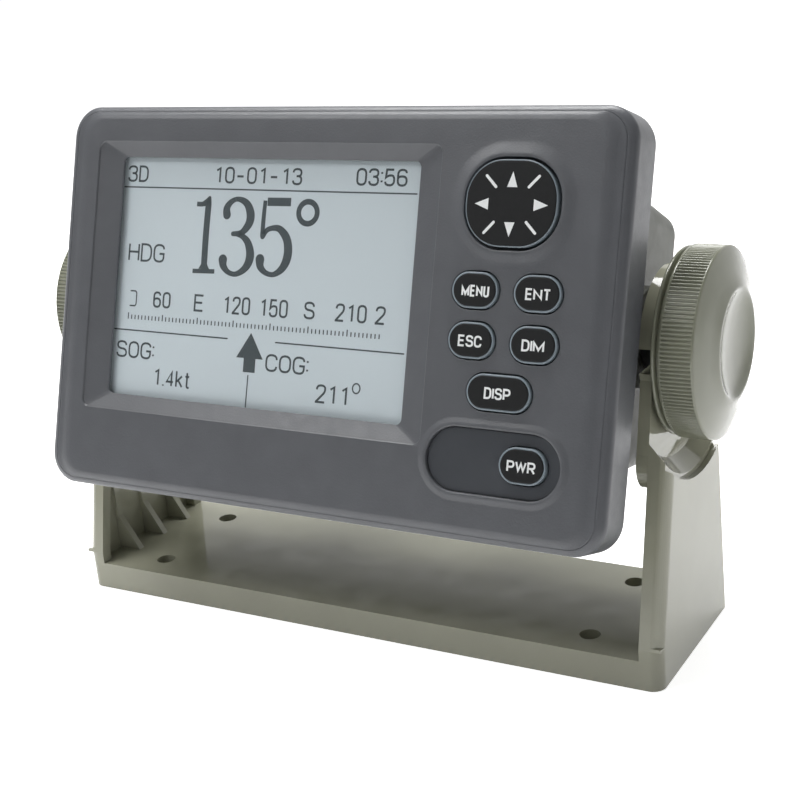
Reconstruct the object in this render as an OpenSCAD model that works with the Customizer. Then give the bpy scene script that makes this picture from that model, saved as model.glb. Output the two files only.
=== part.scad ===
// Electronic compass: a display head in a U bracket, clamped by two ribbed knobs.
// Millimetres, +Z up, front towards -Y. The origin is the middle of the bracket's underside.
// Head pieces are drawn upright about the pivot and then tilted back together.

/* [Stance] */
// Angle that the head leans back at rest
tilt = 19.1; // [0:0.1:30]
// Height of the pivot above the mounting surface
pivot_z = 81; // [76:0.5:100]
// Distance of the pivot behind the middle of the base
pivot_y = 9; // [4:0.5:12]
// Distance from the pivot forward to the front face
face_d = 37.1; // [33:0.1:42]

/* [Bezel] */
// Width of the face left of the window
left_margin = 18.4; // [17:0.1:20]
// Width of the face right of the window, where the keys are
key_margin = 56.4; // [56:0.1:60]
// Height of the face above the window
top_margin = 13.8; // [13.5:0.1:18]
// Height of the face below the window
low_margin = 26.3; // [26:0.1:30]
// How far the bezel's middle lies below the pivot
bezel_drop = 0.2; // [0:0.1:2]
// Depth of the bezel from front to back
bezel_depth = 13.4; // [13:0.1:16]
// Radius of the bezel's corners
bezel_r = 8.5; // [6:0.1:12]
// Width of the front bevel at the sides
bevel_w = 2.5; // [1:0.1:4]
// Width of the front bevel at the top and bottom
bevel_h = 1.7; // [0.8:0.1:3]
// Depth of the front bevel
bevel_depth = 1.6; // [0.8:0.1:3]
// Thickness of the front plate
plate_t = 3.2; // [3:0.1:4]
// Thickness of the side walls where the seal sits
wall_t = 5.5; // [5:0.1:6]
// Thickness of the rim around the rear cover's flange
rim_t = 3; // [2:0.1:3.5]

/* [Window] */
// Width of the window opening
window_w = 94; // [86:0.5:100]
// Height of the window opening
window_h = 65.5; // [60:0.5:72]
// Depth of the sloped recess down to the window
recess_depth = 2; // [1:0.1:2.2]
// Width of the recess slope at the sides
slope_w = 7.3; // [3:0.1:8]
// Width of the recess slope at the top and bottom
slope_h = 4.4; // [2:0.1:6]
// Thickness of the lip that holds the window
lip_t = 0.8; // [0.5:0.1:1]
// How far the window's flange laps behind the lip
lap_w = 2; // [1:0.1:2.2]
// Thickness of the window's seal
seal_t = 0.3; // [0.2:0.1:0.5]
// Thickness of the window's flange
flange_t = 0.8; // [0.6:0.1:1]

/* [Display] */
// Thickness of the liquid crystal panel
panel_t = 2.4; // [2:0.1:2.6]
// Height that the panel adds beyond the window opening
panel_margin = 4.9; // [4:0.1:5]
// Thickness of the backlight
light_t = 3.6; // [2:0.1:3.6]
// Side wall of the frame that holds the panel
frame_wall = 1.8; // [1:0.1:1.9]
// Thickness of the frame's rear lip
frame_lip_t = 0.7; // [0.5:0.1:0.7]
// How far the frame's screws stand out from its sides
ear_out = 3.5; // [3.2:0.1:4]
// Distance of the frame's screws from the window's top and bottom
ear_in = 4.75; // [3:0.05:12]
// Radius of the screw ears and their bosses
ear_r = 3; // [2.5:0.1:3]

/* [Keys] */
// Width of a small key
key_w = 12.3; // [10:0.1:13]
// Height of a small key
key_h = 8.8; // [7:0.1:9.2]
// Width of the wide display key
display_key_w = 17; // [14:0.1:19]
// How far the keys stand out of the front face
key_proud = 0.9; // [0.5:0.1:1.5]
// Clearance around a key in its opening
key_gap = 0.35; // [0.3:0.05:0.5]
// Width of a key's hidden flange
key_flange_w = 0.95; // [0.6:0.05:1]
// Thickness of a key's flange
key_flange_t = 1; // [0.8:0.1:1.2]
// Gap between a key's flange and the front plate
key_back_gap = 0.3; // [0.3:0.1:0.4]
// Length of a key's stem
key_stem = 0.9; // [0.5:0.1:0.9]
// Radius of a key's stem
key_stem_r = 2; // [1:0.1:2.4]
// Width of the cursor pad
pad_w = 24; // [20:0.1:25]
// Height of the cursor pad
pad_h = 20.8; // [18:0.1:21.5]
// Corner radius of the cursor pad
pad_r = 9.4; // [7:0.1:9.8]
// How far the cursor pad stands out of the front face
pad_proud = 1.4; // [1:0.1:2]
// Clearance around the cursor pad
pad_gap = 0.7; // [0.7:0.05:0.8]
// Width of the raised ring around the cursor pad
ring_w = 2.6; // [1:0.1:3]
// Height of the raised ring
ring_t = 0.7; // [0.3:0.1:1]
// Thickness of the silicone mat
mat_t = 1.5; // [1:0.1:1.7]

/* [Power key plate] */
// Width of the recess around the power key
power_plate_w = 35.8; // [30:0.1:38]
// Height of that recess
power_plate_h = 15.9; // [13:0.1:17]
// Depth of that recess
power_recess = 1.1; // [0.6:0.1:1.2]
// Width of the raised ring around it
power_ring_w = 1.9; // [1:0.1:2.2]
// Height of that ring
power_ring_t = 0.35; // [0.2:0.05:0.6]
// Thickness of the plate in it
power_plate_t = 0.5; // [0.3:0.1:0.5]

/* [Rear cover] */
// Depth of the whole head, front face to rear wall
head_depth = 63.5; // [58:0.5:70]
// How far the rear cover stands in from the bezel's sides
cover_step_w = 5.9; // [5.5:0.1:8]
// How far it stands in from the bezel's top and bottom
cover_step_h = 10.3; // [10:0.1:12]
// Depth at which the rear cover's slope ends
shoulder_depth = 24; // [20:0.5:28]
// How far the cover's sides draw in to the shoulder
shoulder_step_w = 3.5; // [3:0.1:4.5]
// How far the cover's top and bottom draw in to the shoulder
shoulder_step_h = 4; // [3:0.1:5]
// Draft of the sides from the shoulder to the rear
rear_step_w = 1; // [0.5:0.1:2]
// Draft of the top and bottom from the shoulder to the rear
rear_step_h = 4.9; // [3:0.1:5.5]
// How far the side bosses stand out from the cover's rear width
boss_proud = 4.5; // [4:0.1:6]
// Radius of the rear cover's long edges
cover_r = 6; // [4:0.5:9]
// Rounding of the rear edge
rear_round = 3.4; // [2:0.1:5]
// Wall of the rear cover
cover_t = 2.5; // [2:0.1:3]
// Thickness of the rear cover's flange
cover_flange_t = 2.4; // [2:0.1:2.4]
// Thickness of the case seal
case_seal_t = 0.8; // [0.4:0.1:0.8]

/* [Bracket] */
// Depth of the bracket's foot
bracket_d = 49.7; // [48:0.1:60]
// Thickness of the base
base_t = 8; // [6:0.1:10]
// Distance of the mounting holes from the bracket's sides
hole_in_x = 22.4; // [20:0.1:30]
// Distance of the mounting holes from the foot's front and rear
hole_in_y = 8.9; // [8:0.05:12]
// Diameter of a mounting hole
hole_d = 5.5; // [4:0.1:6]
// Width of an arm's channel section
channel_w = 5.7; // [5:0.1:5.8]
// Thickness of an arm's outer wall
arm_wall_t = 2.5; // [2:0.1:3]
// Thickness of an arm's front and rear walls
arm_flange_t = 3.5; // [2.5:0.1:4]
// Thickness of the plate that carries the pivot
hub_t = 3.1; // [3:0.1:3.4]
// Radius of the rounded hub
hub_r = 19; // [16:0.1:20]
// Height at which an arm's front edge starts to lean
foot_h = 11.2; // [8:0.1:14]
// Lean of the front edge, as a share of the height
front_lean_share = 0.239; // [0.15:0.001:0.26]
// Lean of the rear edge, as a share of the height
rear_lean_share = 0.062; // [0:0.001:0.1]
// Radius of the scoop behind a knob, at the hub plate
scoop_r_in = 29.5; // [27:0.1:31]
// Radius of the scoop at the arm's outer face
scoop_r_out = 34.5; // [32:0.1:36]
// Thickness of the wall under the scoop
scoop_wall = 3; // [2:0.1:4]
// Rounding of the arm's outer front edge
arm_round = 3.5; // [2:0.1:4]

/* [Pivot and knobs] */
// Diameter of the clamping studs
stud_d = 6; // [5:0.1:6]
// Play between a stud and the bracket's slot
slot_play = 0.1; // [0.05:0.01:0.1]
// Radius of the rubber side washer
side_washer_r = 8; // [6:0.1:9]
// Thickness of the rubber side washer
side_washer_t = 3.7; // [3:0.1:5]
// Radius of the thrust washer under a knob
thrust_washer_r = 10; // [8:0.1:12]
// Thickness of the thrust washer
thrust_washer_t = 1.3; // [1:0.1:1.5]
// Radius of the knob over its ribs
knob_r = 24.1; // [20:0.1:26]
// Number of ribs on a knob
knob_ribs = 144; // [60:1:180]
// Depth of the ribs
rib_depth = 0.5; // [0.2:0.1:0.8]
// Thickness of the knob's inner disc
knob_disc_t = 1.2; // [1:0.1:2]
// Width of the groove behind the ribbed band
knob_groove_w = 1.4; // [1:0.1:3]
// Width of the ribbed band
knob_band_w = 7.6; // [5:0.1:9]
// Height of the conical face above the band
knob_cone_h = 3.8; // [2:0.1:6]
// Radius of the dished centre
dish_r = 14; // [10:0.1:17]
// Depth of the dished centre
dish_depth = 2.4; // [1:0.1:3]

/* [Electronics and sockets] */
// Thickness of the circuit boards
board_t = 1.6; // [1.2:0.1:1.8]
// Gap between the main board and the cover's rear side walls
board_gap_w = 5.5; // [4.5:0.1:10]
// Gap between the main board and the cover's rear top and bottom walls
board_gap_h = 1.1; // [0.8:0.1:4]
// Depth of the main board's front from the front face
board_depth = 20; // [19:0.5:22]
// Depth of the key board's front from the front face
key_board_depth = 8; // [8:0.1:8.2]
// Distance of the rear sockets from the middle
socket_x = 28; // [22:0.5:36]
// How far the rear sockets lie below the pivot
socket_drop = 6; // [0:0.5:9]
// Radius of the bore of a socket
socket_bore_r = 6.2; // [5:0.1:6.5]
// Length of the bore of a socket
socket_bore_l = 7; // [6:0.1:8]

/* [Hidden] */
$fn = 64;
hull_fn = 32;
// Overrun of every cut past the face that it opens
eps = 1;
// Clearance of loose pieces in one body, and of a screw in its hole
loose = 0.2;
thread_play = 0.05;
// Gap between flat faces that slide on each other
slide_gap = 0.1;
thin = 0.1;

dark_grey = [0.36, 0.36, 0.38];
olive_grey = [0.56, 0.56, 0.49];
light_grey = [0.62, 0.63, 0.59];
board_green = [0.10, 0.36, 0.20];
rubber_black = [0.08, 0.08, 0.08];
steel_grey = [0.72, 0.72, 0.74];
brass_gold = [0.78, 0.62, 0.28];
chip_black = [0.12, 0.12, 0.13];

// The bezel around the window, and the cover drawn in from it
bezel_w = window_w + left_margin + key_margin;
bezel_h = window_h + top_margin + low_margin;
window_x = (left_margin - key_margin) / 2;
window_z = (low_margin - top_margin) / 2 - bezel_drop;
cover_w = bezel_w - 2 * cover_step_w;
cover_h = bezel_h - 2 * cover_step_h;
shoulder_w = cover_w - 2 * shoulder_step_w;
shoulder_h = cover_h - 2 * shoulder_step_h;
rear_w = shoulder_w - 2 * rear_step_w;
rear_h = shoulder_h - 2 * rear_step_h;
board_w = rear_w - 2 * (cover_t + board_gap_w);
board_h = rear_h - 2 * (cover_t + board_gap_h);

// Depths behind the front face
seal_front = recess_depth + lip_t;
flange_front = seal_front + seal_t;
window_back = flange_front + flange_t;
panel_back = window_back + panel_t;
light_back = panel_back + light_t;
frame_back = light_back + frame_lip_t;
ledge_depth = bezel_depth - cover_flange_t - case_seal_t;
cover_front = bezel_depth - cover_flange_t;
rear_inside = head_depth - cover_t;
round_mid_share = 0.3;
board_back = board_depth + board_t;
key_flange_front = plate_t + key_back_gap;
key_stem_front = key_flange_front + key_flange_t;

// Display stack outlines
flange_w = window_w + 2 * lap_w;
flange_h = window_h + 2 * lap_w;
panel_w = window_w + 2 * lap_w;
panel_h = window_h + panel_margin;
frame_w = panel_w + 2 * (frame_wall + loose);
frame_h = panel_h + 2 * (frame_wall + loose);
frame_hole_share = 0.9;
ear_x = frame_w / 2 + ear_out;
ear_z = window_h / 2 - ear_in;
ear_t = 1.5;
window_r = 1.6;
recess_r = 2;

FRAME_SCREWS = [
  for (x = [-1, 1]) for (z = [-1, 1]) [window_x + x * ear_x, window_z + z * ear_z]
];

// Keys: middle to the right of the bezel's middle, middle above the pivot, width
keypad_in = 29.4;
keypad_x = bezel_w / 2 - keypad_in;
key_spread = 8.25;
key_col_1 = keypad_x - key_spread;
key_col_2 = keypad_x + key_spread;
key_row_1 = 7.85;
key_row_2 = -4.25;
display_key_out = 0.15;
display_key_x = keypad_x + display_key_out;
display_key_z = -16.3;
power_key_out = 7.95;
power_key_x = keypad_x + power_key_out;
power_key_z = -33;
power_plate_in = 0.3;
power_plate_x = keypad_x - power_plate_in;
power_plate_z = -33.15;
pad_in = 0.2;
pad_x = keypad_x - pad_in;
pad_z = 28.8;
KEYS = [
  [key_col_1, key_row_1, key_w],
  [key_col_2, key_row_1, key_w],
  [key_col_1, key_row_2, key_w],
  [key_col_2, key_row_2, key_w],
  [display_key_x, display_key_z, display_key_w],
  [power_key_x, power_key_z, key_w],
];
pad_flange_w = 1.5;
pad_flange_t = 0.8;
pad_flange_front = key_stem_front - thin;
pivot_disc_r = 3;
pivot_disc_gap = 0.3;
pad_post_t = 1.1;
pivot_disc_t = key_board_depth - pad_post_t - pad_flange_front - pad_flange_t - 2 * pivot_disc_gap;

// Key board outline and screws
key_board_ear_gap = 2.5;
key_board_side_gap = 1.4;
key_board_end_gap = 4.1;
key_board_x0 = window_x + ear_x + ear_r + key_board_ear_gap;
key_board_x1 = bezel_w / 2 - wall_t - key_board_side_gap;
key_board_half_h = bezel_h / 2 - bezel_drop - wall_t - key_board_end_gap;
key_board_screw_in = 3.5;
key_board_screw_up = 5;
key_board_screw_mid_z = -14;
key_board_screw_low = 7;
KEY_BOARD_SCREWS = [
  [key_board_x1 - key_board_screw_in, key_board_half_h - key_board_screw_up],
  [key_board_x1 - key_board_screw_in, key_board_screw_mid_z],
  [key_board_x0 + key_board_screw_in, -key_board_half_h + key_board_screw_low],
];
key_boss_r = 2.6;
switch_size = 6;
switch_t = 1.2;
switch_button_r = 1.6;
switch_button_t = 0.4;
mat_edge = 1;

// Screws
small_screw_r = 1.25;
small_head_r = 2.3;
small_head_t = 1.4;
small_screw_l = 5;
drive_share = 0.8;
case_screw_r = 1.5;
case_head_r = 2.8;
case_head_t = 2;
case_boss_r = 2.9;
case_screw_end = 5.5;
case_screw_in_x = 8.1;
case_screw_in_z = 6.2;
case_screw_x = bezel_w / 2 - case_screw_in_x;
case_screw_mid_x = 26;
case_screw_z = bezel_h / 2 - case_screw_in_z;
CASE_SCREWS = [
  for (x = [-case_screw_x, -case_screw_mid_x, case_screw_mid_x, case_screw_x])
    for (s = [-1, 1]) [x, s * case_screw_z]
];

// Main board posts and parts
post_r = 3.5;
post_in = 5;
chip_t = 1.4;
// Places and sizes as shares of the main board's width and height
CHIP_SHARES = [
  [-0.167, 0.067, 0.152, 0.333],
  [0.061, 0.133, 0.106, 0.233],
  [0.061, -0.2, 0.076, 0.1],
  [-0.348, 0.167, 0.061, 0.2],
  [0.258, -0.267, 0.091, 0.133],
];
CAPACITOR_SHARES = [[-0.364, -0.233], [-0.28, -0.267], [0.333, 0.233]];
capacitor_r = 4;
capacitor_h = 9;
buzzer_x = 36;
buzzer_z = 4;
buzzer_r = 6;
buzzer_h = 7;
battery_x = -12;
battery_z = -18;
battery_r = 8;
battery_h = 4;
ribbon_t = 0.4;
ribbon_w = 22;
key_ribbon_w = 12;
display_ribbon_x = -40;
ribbon_bow = 3;

// Sockets
socket_wall = 2;
socket_well_r = 5;
socket_well_l = 5;
socket_flange_r = 11;
socket_flange_t = 2;
socket_r = socket_bore_r + socket_wall;
socket_sunk = 2;
socket_out = socket_bore_l + socket_well_l - socket_sunk;
socket_in = 9;
nut_t = 3;
nut_r = 12;
pin_r = 0.75;
pin_l = 4.4;
pin_ring_r = 2.6;
ground_z = -18;
ground_r = 2;
ground_head_r = 4;
ground_head_t = 2.4;
ground_in = 6;

// Pivot, from the middle outwards
boss_x = rear_w / 2 + boss_proud;
hub_x = boss_x + side_washer_t + slide_gap;
channel_x = hub_x + hub_t;
arm_x = channel_x + channel_w;
bracket_w = 2 * arm_x;
hole_dx = bracket_w - 2 * hole_in_x;
hole_dy = bracket_d - 2 * hole_in_y;
boss_r = 13;
inner_boss_r = 8;
boss_floor = 5;
insert_r = 5;
insert_l = 12.5;
insert_x = boss_x - insert_l;
stud_past = 2;
stud_end_x = insert_x - stud_past;
stud_r = stud_d / 2;
slot_r = stud_r + slot_play;
knob_x = channel_x + slide_gap + thrust_washer_t;
knob_band_h = knob_disc_t + knob_groove_w;
knob_cone_z = knob_band_h + knob_band_w;
knob_top = knob_cone_z + knob_cone_h;
knob_body_r = knob_r - rib_depth;
knob_groove_depth = 2;
knob_groove_r = knob_r - knob_groove_depth;
knob_border = 0.9;
knob_ease = 0.4;
rib_inset = 0.1;
dish_mid_share = 0.85;
stud_flange_r = 5;
stud_flange_t = 2;
stud_in_knob = 9;

// Arms and base
foot_y = bracket_d / 2;
hub_plate_drop = 33.4;
hub_plate_low = pivot_z - hub_plate_drop;
hub_plate_r = 7.4;
cavity_r = scoop_r_out + scoop_wall;
scoop_step = 1.5;
scoop_step_r = 1.3;
lean_angle = atan(front_lean_share);
edge_step = 9;
gusset_t = 2;
GUSSET_SHARES = [-0.245, -0.006, 0.237];
gusset_foot = 4.4;
gusset_rise = 10.2;
gusset_edge = 0.7;
gusset_mid = 1.1;
base_r = 1.5;
skirt_t = 3;
skin_t = 3;
rib_t = 2.2;
pocket_cols = 10;
pocket_rows = 4;
pocket_w = (bracket_w - 2 * skirt_t - (pocket_cols - 1) * rib_t) / pocket_cols;
pocket_d = (bracket_d - 2 * skirt_t - (pocket_rows - 1) * rib_t) / pocket_rows;
hole_boss_r = 6;

// The head's own frame: upright about the pivot, tilted back
module head() {
  translate([0, pivot_y, pivot_z]) rotate([-tilt, 0, 0]) children();
}

// A flat outline, seen from the front, as a layer from depth d to depth d + t
module layer(d, t) {
  translate([0, d + t - face_d, 0]) rotate([90, 0, 0]) linear_extrude(t) children();
}

module at(p) {
  translate([p[0], p[1]]) children();
}

// Mirrors what is drawn for the right side to side s
module on_side(s) {
  if (s < 0) mirror([1, 0, 0]) children();
  else children();
}

// A solid of revolution about the pivot, drawn with its axis along X from x
module about_pivot(x) {
  translate([x, 0, 0]) rotate([0, 90, 0]) children();
}

module tube(r, hole_r, h) {
  difference() {
    cylinder(r = r, h = h);
    translate([0, 0, -eps]) cylinder(r = hole_r, h = h + 2 * eps);
  }
}

module round_rect(w, h, r) {
  square([w - 2 * r, h], center = true);
  square([w, h - 2 * r], center = true);
  for (x = [-1, 1])
    for (y = [-1, 1]) translate([x * (w / 2 - r), y * (h / 2 - r)]) circle(r);
}

module pill(w, h) {
  square([w - h, h], center = true);
  for (x = [-1, 1]) translate([x * (w - h) / 2, 0]) circle(h / 2);
}

// A profile drawn in Y and Z, as a plate from x to x + t
module side_plate(x, t) {
  translate([x, 0, 0]) rotate([90, 0, 90]) linear_extrude(t) children();
}

// Bezel
module bezel_outline(inset) {
  translate([0, -bezel_drop])
    round_rect(bezel_w - 2 * inset, bezel_h - 2 * inset, bezel_r - inset);
}

module crease_outline() {
  translate([0, -bezel_drop])
    round_rect(bezel_w - 2 * bevel_w, bezel_h - 2 * bevel_h, bezel_r - bevel_h, $fn = hull_fn);
}

module window_outline(grow, r) {
  translate([window_x, window_z]) round_rect(window_w + 2 * grow, window_h + 2 * grow, r);
}

module pad_outline(grow) {
  translate([pad_x, pad_z]) round_rect(pad_w + 2 * grow, pad_h + 2 * grow, pad_r + grow);
}

module key_outline(k, grow) {
  translate([k[0], k[1]]) pill(k[2] + 2 * grow, key_h + 2 * grow);
}

module power_outline(inset) {
  translate([power_plate_x, power_plate_z])
    pill(power_plate_w - 2 * inset, power_plate_h - 2 * inset);
}

module bezel_body() {
  hull() {
    layer(0, thin) crease_outline();
    layer(bevel_depth, thin) bezel_outline(0, $fn = hull_fn);
  }
  layer(bevel_depth, bezel_depth - bevel_depth) bezel_outline(0);
  layer(-ring_t, ring_t + thin) pad_outline(pad_gap + ring_w);
  layer(-power_ring_t, power_ring_t + thin) power_outline(-power_ring_w);
}

module recess_slope() {
  hull() {
    layer(-thin, thin)
      translate([window_x, window_z])
        round_rect(window_w + 2 * slope_w, window_h + 2 * slope_h, recess_r, $fn = hull_fn);
    layer(recess_depth, thin) window_outline(0, window_r, $fn = hull_fn);
  }
}

module bezel_bosses() {
  layer(plate_t - thin, ledge_depth - plate_t + thin)
    for (p = CASE_SCREWS) at(p) circle(case_boss_r);
  layer(plate_t - thin, frame_back - ear_t - plate_t + thin)
    for (p = FRAME_SCREWS) at(p) circle(ear_r);
  layer(plate_t - thin, key_board_depth - plate_t + thin)
    for (p = KEY_BOARD_SCREWS) at(p) circle(key_boss_r);
}

module front_bezel() {
  color(dark_grey) head() difference() {
    union() {
      difference() {
        bezel_body();
        layer(plate_t, bezel_depth) bezel_outline(wall_t);
        layer(ledge_depth, bezel_depth) bezel_outline(rim_t);
      }
      bezel_bosses();
    }
    recess_slope();
    layer(-eps, plate_t + 2 * eps) window_outline(0, window_r);
    layer(seal_front, plate_t) window_outline(lap_w + loose, window_r);
    layer(-ring_t - eps, ring_t + plate_t + 2 * eps) pad_outline(pad_gap);
    for (k = KEYS) layer(-eps, plate_t + 2 * eps) key_outline(k, key_gap);
    layer(-power_ring_t - eps, power_ring_t + power_recess + eps) power_outline(0);
    layer(case_screw_end - thin, bezel_depth)
      for (p = CASE_SCREWS) at(p) circle(case_screw_r + thread_play);
    layer(plate_t + thin, bezel_depth)
      for (p = FRAME_SCREWS) at(p) circle(small_screw_r + thread_play);
    layer(plate_t + thin, bezel_depth)
      for (p = KEY_BOARD_SCREWS) at(p) circle(small_screw_r + thread_play);
  }
}

// Window and display
module window_gasket() {
  color(rubber_black) head() layer(seal_front, seal_t) difference() {
    window_outline(lap_w, window_r);
    window_outline(loose, window_r);
  }
}

module lcd_window() {
  color([0.75, 0.82, 0.85, 0.4]) head() {
    layer(recess_depth, flange_front - recess_depth) window_outline(-loose, window_r);
    layer(flange_front, flange_t) window_outline(lap_w, window_r);
  }
}

module lcd_panel() {
  color([0.70, 0.75, 0.76]) head() layer(window_back, panel_t)
    translate([window_x, window_z]) square([panel_w, panel_h], center = true);
}

module backlight() {
  color([0.9, 0.92, 0.92]) head() layer(panel_back, light_t)
    translate([window_x, window_z]) square([panel_w, panel_h], center = true);
}

module lcd_frame() {
  color(steel_grey) head() {
    layer(window_back, frame_back - window_back) difference() {
      translate([window_x, window_z]) square([frame_w, frame_h], center = true);
      translate([window_x, window_z])
        square([panel_w + 2 * loose, panel_h + 2 * loose], center = true);
    }
    layer(light_back, frame_lip_t) difference() {
      translate([window_x, window_z]) square([frame_w, frame_h], center = true);
      translate([window_x, window_z])
        square([panel_w * frame_hole_share, panel_h * frame_hole_share], center = true);
    }
    layer(frame_back - ear_t, ear_t) difference() {
      union() {
        for (p = FRAME_SCREWS) at(p) circle(ear_r);
        for (z = [-1, 1])
          for (x = [-1, 1]) translate([
            window_x + x * (frame_w / 2 - frame_wall / 2 + (ear_x - frame_w / 2) / 2),
            window_z + z * ear_z,
          ]) square([ear_x - frame_w / 2 + frame_wall, 2 * ear_r], center = true);
      }
      for (p = FRAME_SCREWS) at(p) circle(small_screw_r + loose);
    }
  }
}

// Screws: heads from depth d backwards, and shanks of length l ahead of them
module screw_set(d, r, head_r, head_t, l, places) {
  layer(d - l, l + thin) for (p = places) at(p) circle(r);
  layer(d, head_t) for (p = places) at(p) difference() {
    circle(head_r);
    circle(r * drive_share, $fn = 6);
  }
}

module frame_screws() {
  color(steel_grey) head()
    screw_set(frame_back, small_screw_r, small_head_r, small_head_t, small_screw_l, FRAME_SCREWS);
}

// Keypad
module key_board_outline(grow) {
  translate([key_board_x0 - grow, -key_board_half_h - grow])
    square([key_board_x1 - key_board_x0 + 2 * grow, 2 * (key_board_half_h + grow)]);
}

module keypad_mat() {
  color([0.2, 0.2, 0.21]) head() layer(plate_t, mat_t) difference() {
    key_board_outline(-mat_edge);
    for (k = KEYS) key_outline(k, key_flange_w + 2 * loose);
    pad_outline(pad_flange_w + 3 * loose);
    for (p = KEY_BOARD_SCREWS) at(p) circle(key_boss_r + loose);
  }
}

module key_board() {
  color(board_green) head() {
    layer(key_board_depth, board_t) difference() {
      key_board_outline(0);
      for (p = KEY_BOARD_SCREWS) at(p) circle(small_screw_r + loose);
    }
    layer(key_board_depth - pad_post_t, pad_post_t) translate([pad_x, pad_z]) circle(pivot_disc_r);
  }
}

module tact_switches() {
  pad_throw_x = pad_w / 2 - switch_size / 2;
  pad_throw_z = pad_h / 2 - switch_size / 2;
  places = concat(
    [for (k = KEYS) [k[0], k[1]]],
    [for (s = [-1, 1]) [pad_x + s * pad_throw_x, pad_z]],
    [for (s = [-1, 1]) [pad_x, pad_z + s * pad_throw_z]]
  );
  color(chip_black) head() for (p = places) {
    layer(key_board_depth - switch_t, switch_t) at(p) square(switch_size, center = true);
    layer(key_board_depth - switch_t - switch_button_t, switch_button_t)
      at(p) circle(switch_button_r);
  }
}

module key_board_screws() {
  color(steel_grey) head() screw_set(
    key_board_depth + board_t, small_screw_r, small_head_r, small_head_t, small_screw_l,
    KEY_BOARD_SCREWS
  );
}

module push_key(k) {
  color([0.14, 0.14, 0.14]) head() {
    layer(-key_proud, key_proud + key_flange_front) key_outline(k, 0);
    layer(key_flange_front, key_flange_t) key_outline(k, key_flange_w);
    layer(key_stem_front, key_stem) translate([k[0], k[1]]) circle(key_stem_r);
  }
}

module menu_key() push_key(KEYS[0]);
module enter_key() push_key(KEYS[1]);
module escape_key() push_key(KEYS[2]);
module dim_key() push_key(KEYS[3]);
module display_key() push_key(KEYS[4]);

// The power key stands in its recess, as proud of the plate as the others are of the face
module power_key() push_key(KEYS[5]);

module power_plate() {
  color([0.3, 0.3, 0.32]) head() layer(power_recess - power_plate_t, power_plate_t) difference() {
    power_outline(loose);
    key_outline(KEYS[5], key_gap);
  }
}

module cursor_pad() {
  color([0.14, 0.14, 0.14]) head() {
    layer(-pad_proud, pad_proud + pad_flange_front) pad_outline(0);
    layer(pad_flange_front, pad_flange_t) pad_outline(pad_flange_w);
  }
}

module cursor_pivot() {
  color(steel_grey) head()
    layer(pad_flange_front + pad_flange_t + pivot_disc_gap, pivot_disc_t)
      translate([pad_x, pad_z]) circle(pivot_disc_r);
}

// Rear cover
// One side's outline of the rear cover: a skirt that slopes in to the shoulder, a drafted box and
// an eased rear edge, all drawn in by t. The skirt runs on forward, where the straight wall cuts it.
function cover_side(front, shoulder, rear, t) = [
  [
    cover_front + t + loose,
    front - t + (front - shoulder) * (bezel_depth - cover_front) / (shoulder_depth - bezel_depth)
  ],
  [shoulder_depth, shoulder - t],
  [head_depth - rear_round - t, rear - t],
  [head_depth - rear_round * round_mid_share - t, rear - t - rear_round * round_mid_share],
  [head_depth - t, rear - t - rear_round],
];

// The whole outline, as pairs of distance behind the pivot and distance from the middle
function cover_outline(front, shoulder, rear, t) =
  let (side = cover_side(front / 2, shoulder / 2, rear / 2, t)) concat(
    [for (p = side) [p[0] - face_d, p[1]]],
    [for (i = [len(side) - 1:-1:0]) [side[i][0] - face_d, -side[i][1]]]
  );

// The cover's outer form, drawn in by t on every side
module cover_form(t) {
  intersection() {
    side_plate(-cover_w / 2 - eps, cover_w + 2 * eps)
      polygon(cover_outline(cover_h, shoulder_h, rear_h, t));
    translate([0, 0, -cover_h / 2 - eps]) linear_extrude(cover_h + 2 * eps)
      polygon([for (p = cover_outline(cover_w, shoulder_w, rear_w, t)) [p[1], p[0]]]);
    layer(cover_front, head_depth) round_rect(cover_w - 2 * t, cover_h - 2 * t, cover_r);
  }
}

module board_places() {
  for (x = [-1, 1])
    for (z = [-1, 1]) translate([x * (board_w / 2 - post_in), z * (board_h / 2 - post_in)])
      children();
}

module rear_cover() {
  color(light_grey) head() difference() {
    union() {
      difference() {
        union() {
          cover_form(0);
          layer(cover_front, cover_flange_t) bezel_outline(rim_t + loose);
        }
        cover_form(cover_t);
        layer(cover_front - eps, cover_t + eps + 2 * loose)
          round_rect(cover_w - 2 * cover_t - 2 * loose, cover_h - 2 * cover_t - 2 * loose, cover_r);
      }
      layer(board_back, rear_inside - board_back + thin) board_places() circle(post_r);
      for (s = [-1, 1]) on_side(s) {
        about_pivot(rear_w / 2 - cover_t) cylinder(r = boss_r, h = boss_x - rear_w / 2 + cover_t);
        about_pivot(insert_x - boss_floor)
          cylinder(r = inner_boss_r, h = rear_w / 2 - cover_t / 2 - insert_x + boss_floor);
      }
    }
    layer(cover_front - eps, cover_flange_t + 2 * eps)
      for (p = CASE_SCREWS) at(p) circle(case_screw_r + loose);
    layer(board_back - eps, small_screw_l + eps)
      board_places() circle(small_screw_r + thread_play);
    for (s = [-1, 1]) on_side(s) {
      about_pivot(insert_x) cylinder(r = insert_r + thread_play, h = boss_x);
      about_pivot(insert_x - boss_r) cylinder(r = stud_r + 2 * loose, h = boss_x);
    }
    for (s = [-1, 1]) layer(rear_inside - eps, cover_t + 2 * eps)
      translate([s * socket_x, -socket_drop]) circle(socket_r + thread_play);
    layer(rear_inside - eps, cover_t + 2 * eps)
      translate([0, ground_z]) circle(ground_r + thread_play);
  }
}

module case_gasket() {
  color(rubber_black) head() layer(ledge_depth, case_seal_t) difference() {
    union() {
      difference() {
        bezel_outline(rim_t + loose);
        bezel_outline(wall_t);
      }
      for (p = CASE_SCREWS) at(p) circle(case_boss_r);
    }
    for (p = CASE_SCREWS) at(p) circle(case_screw_r + loose);
  }
}

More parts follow.
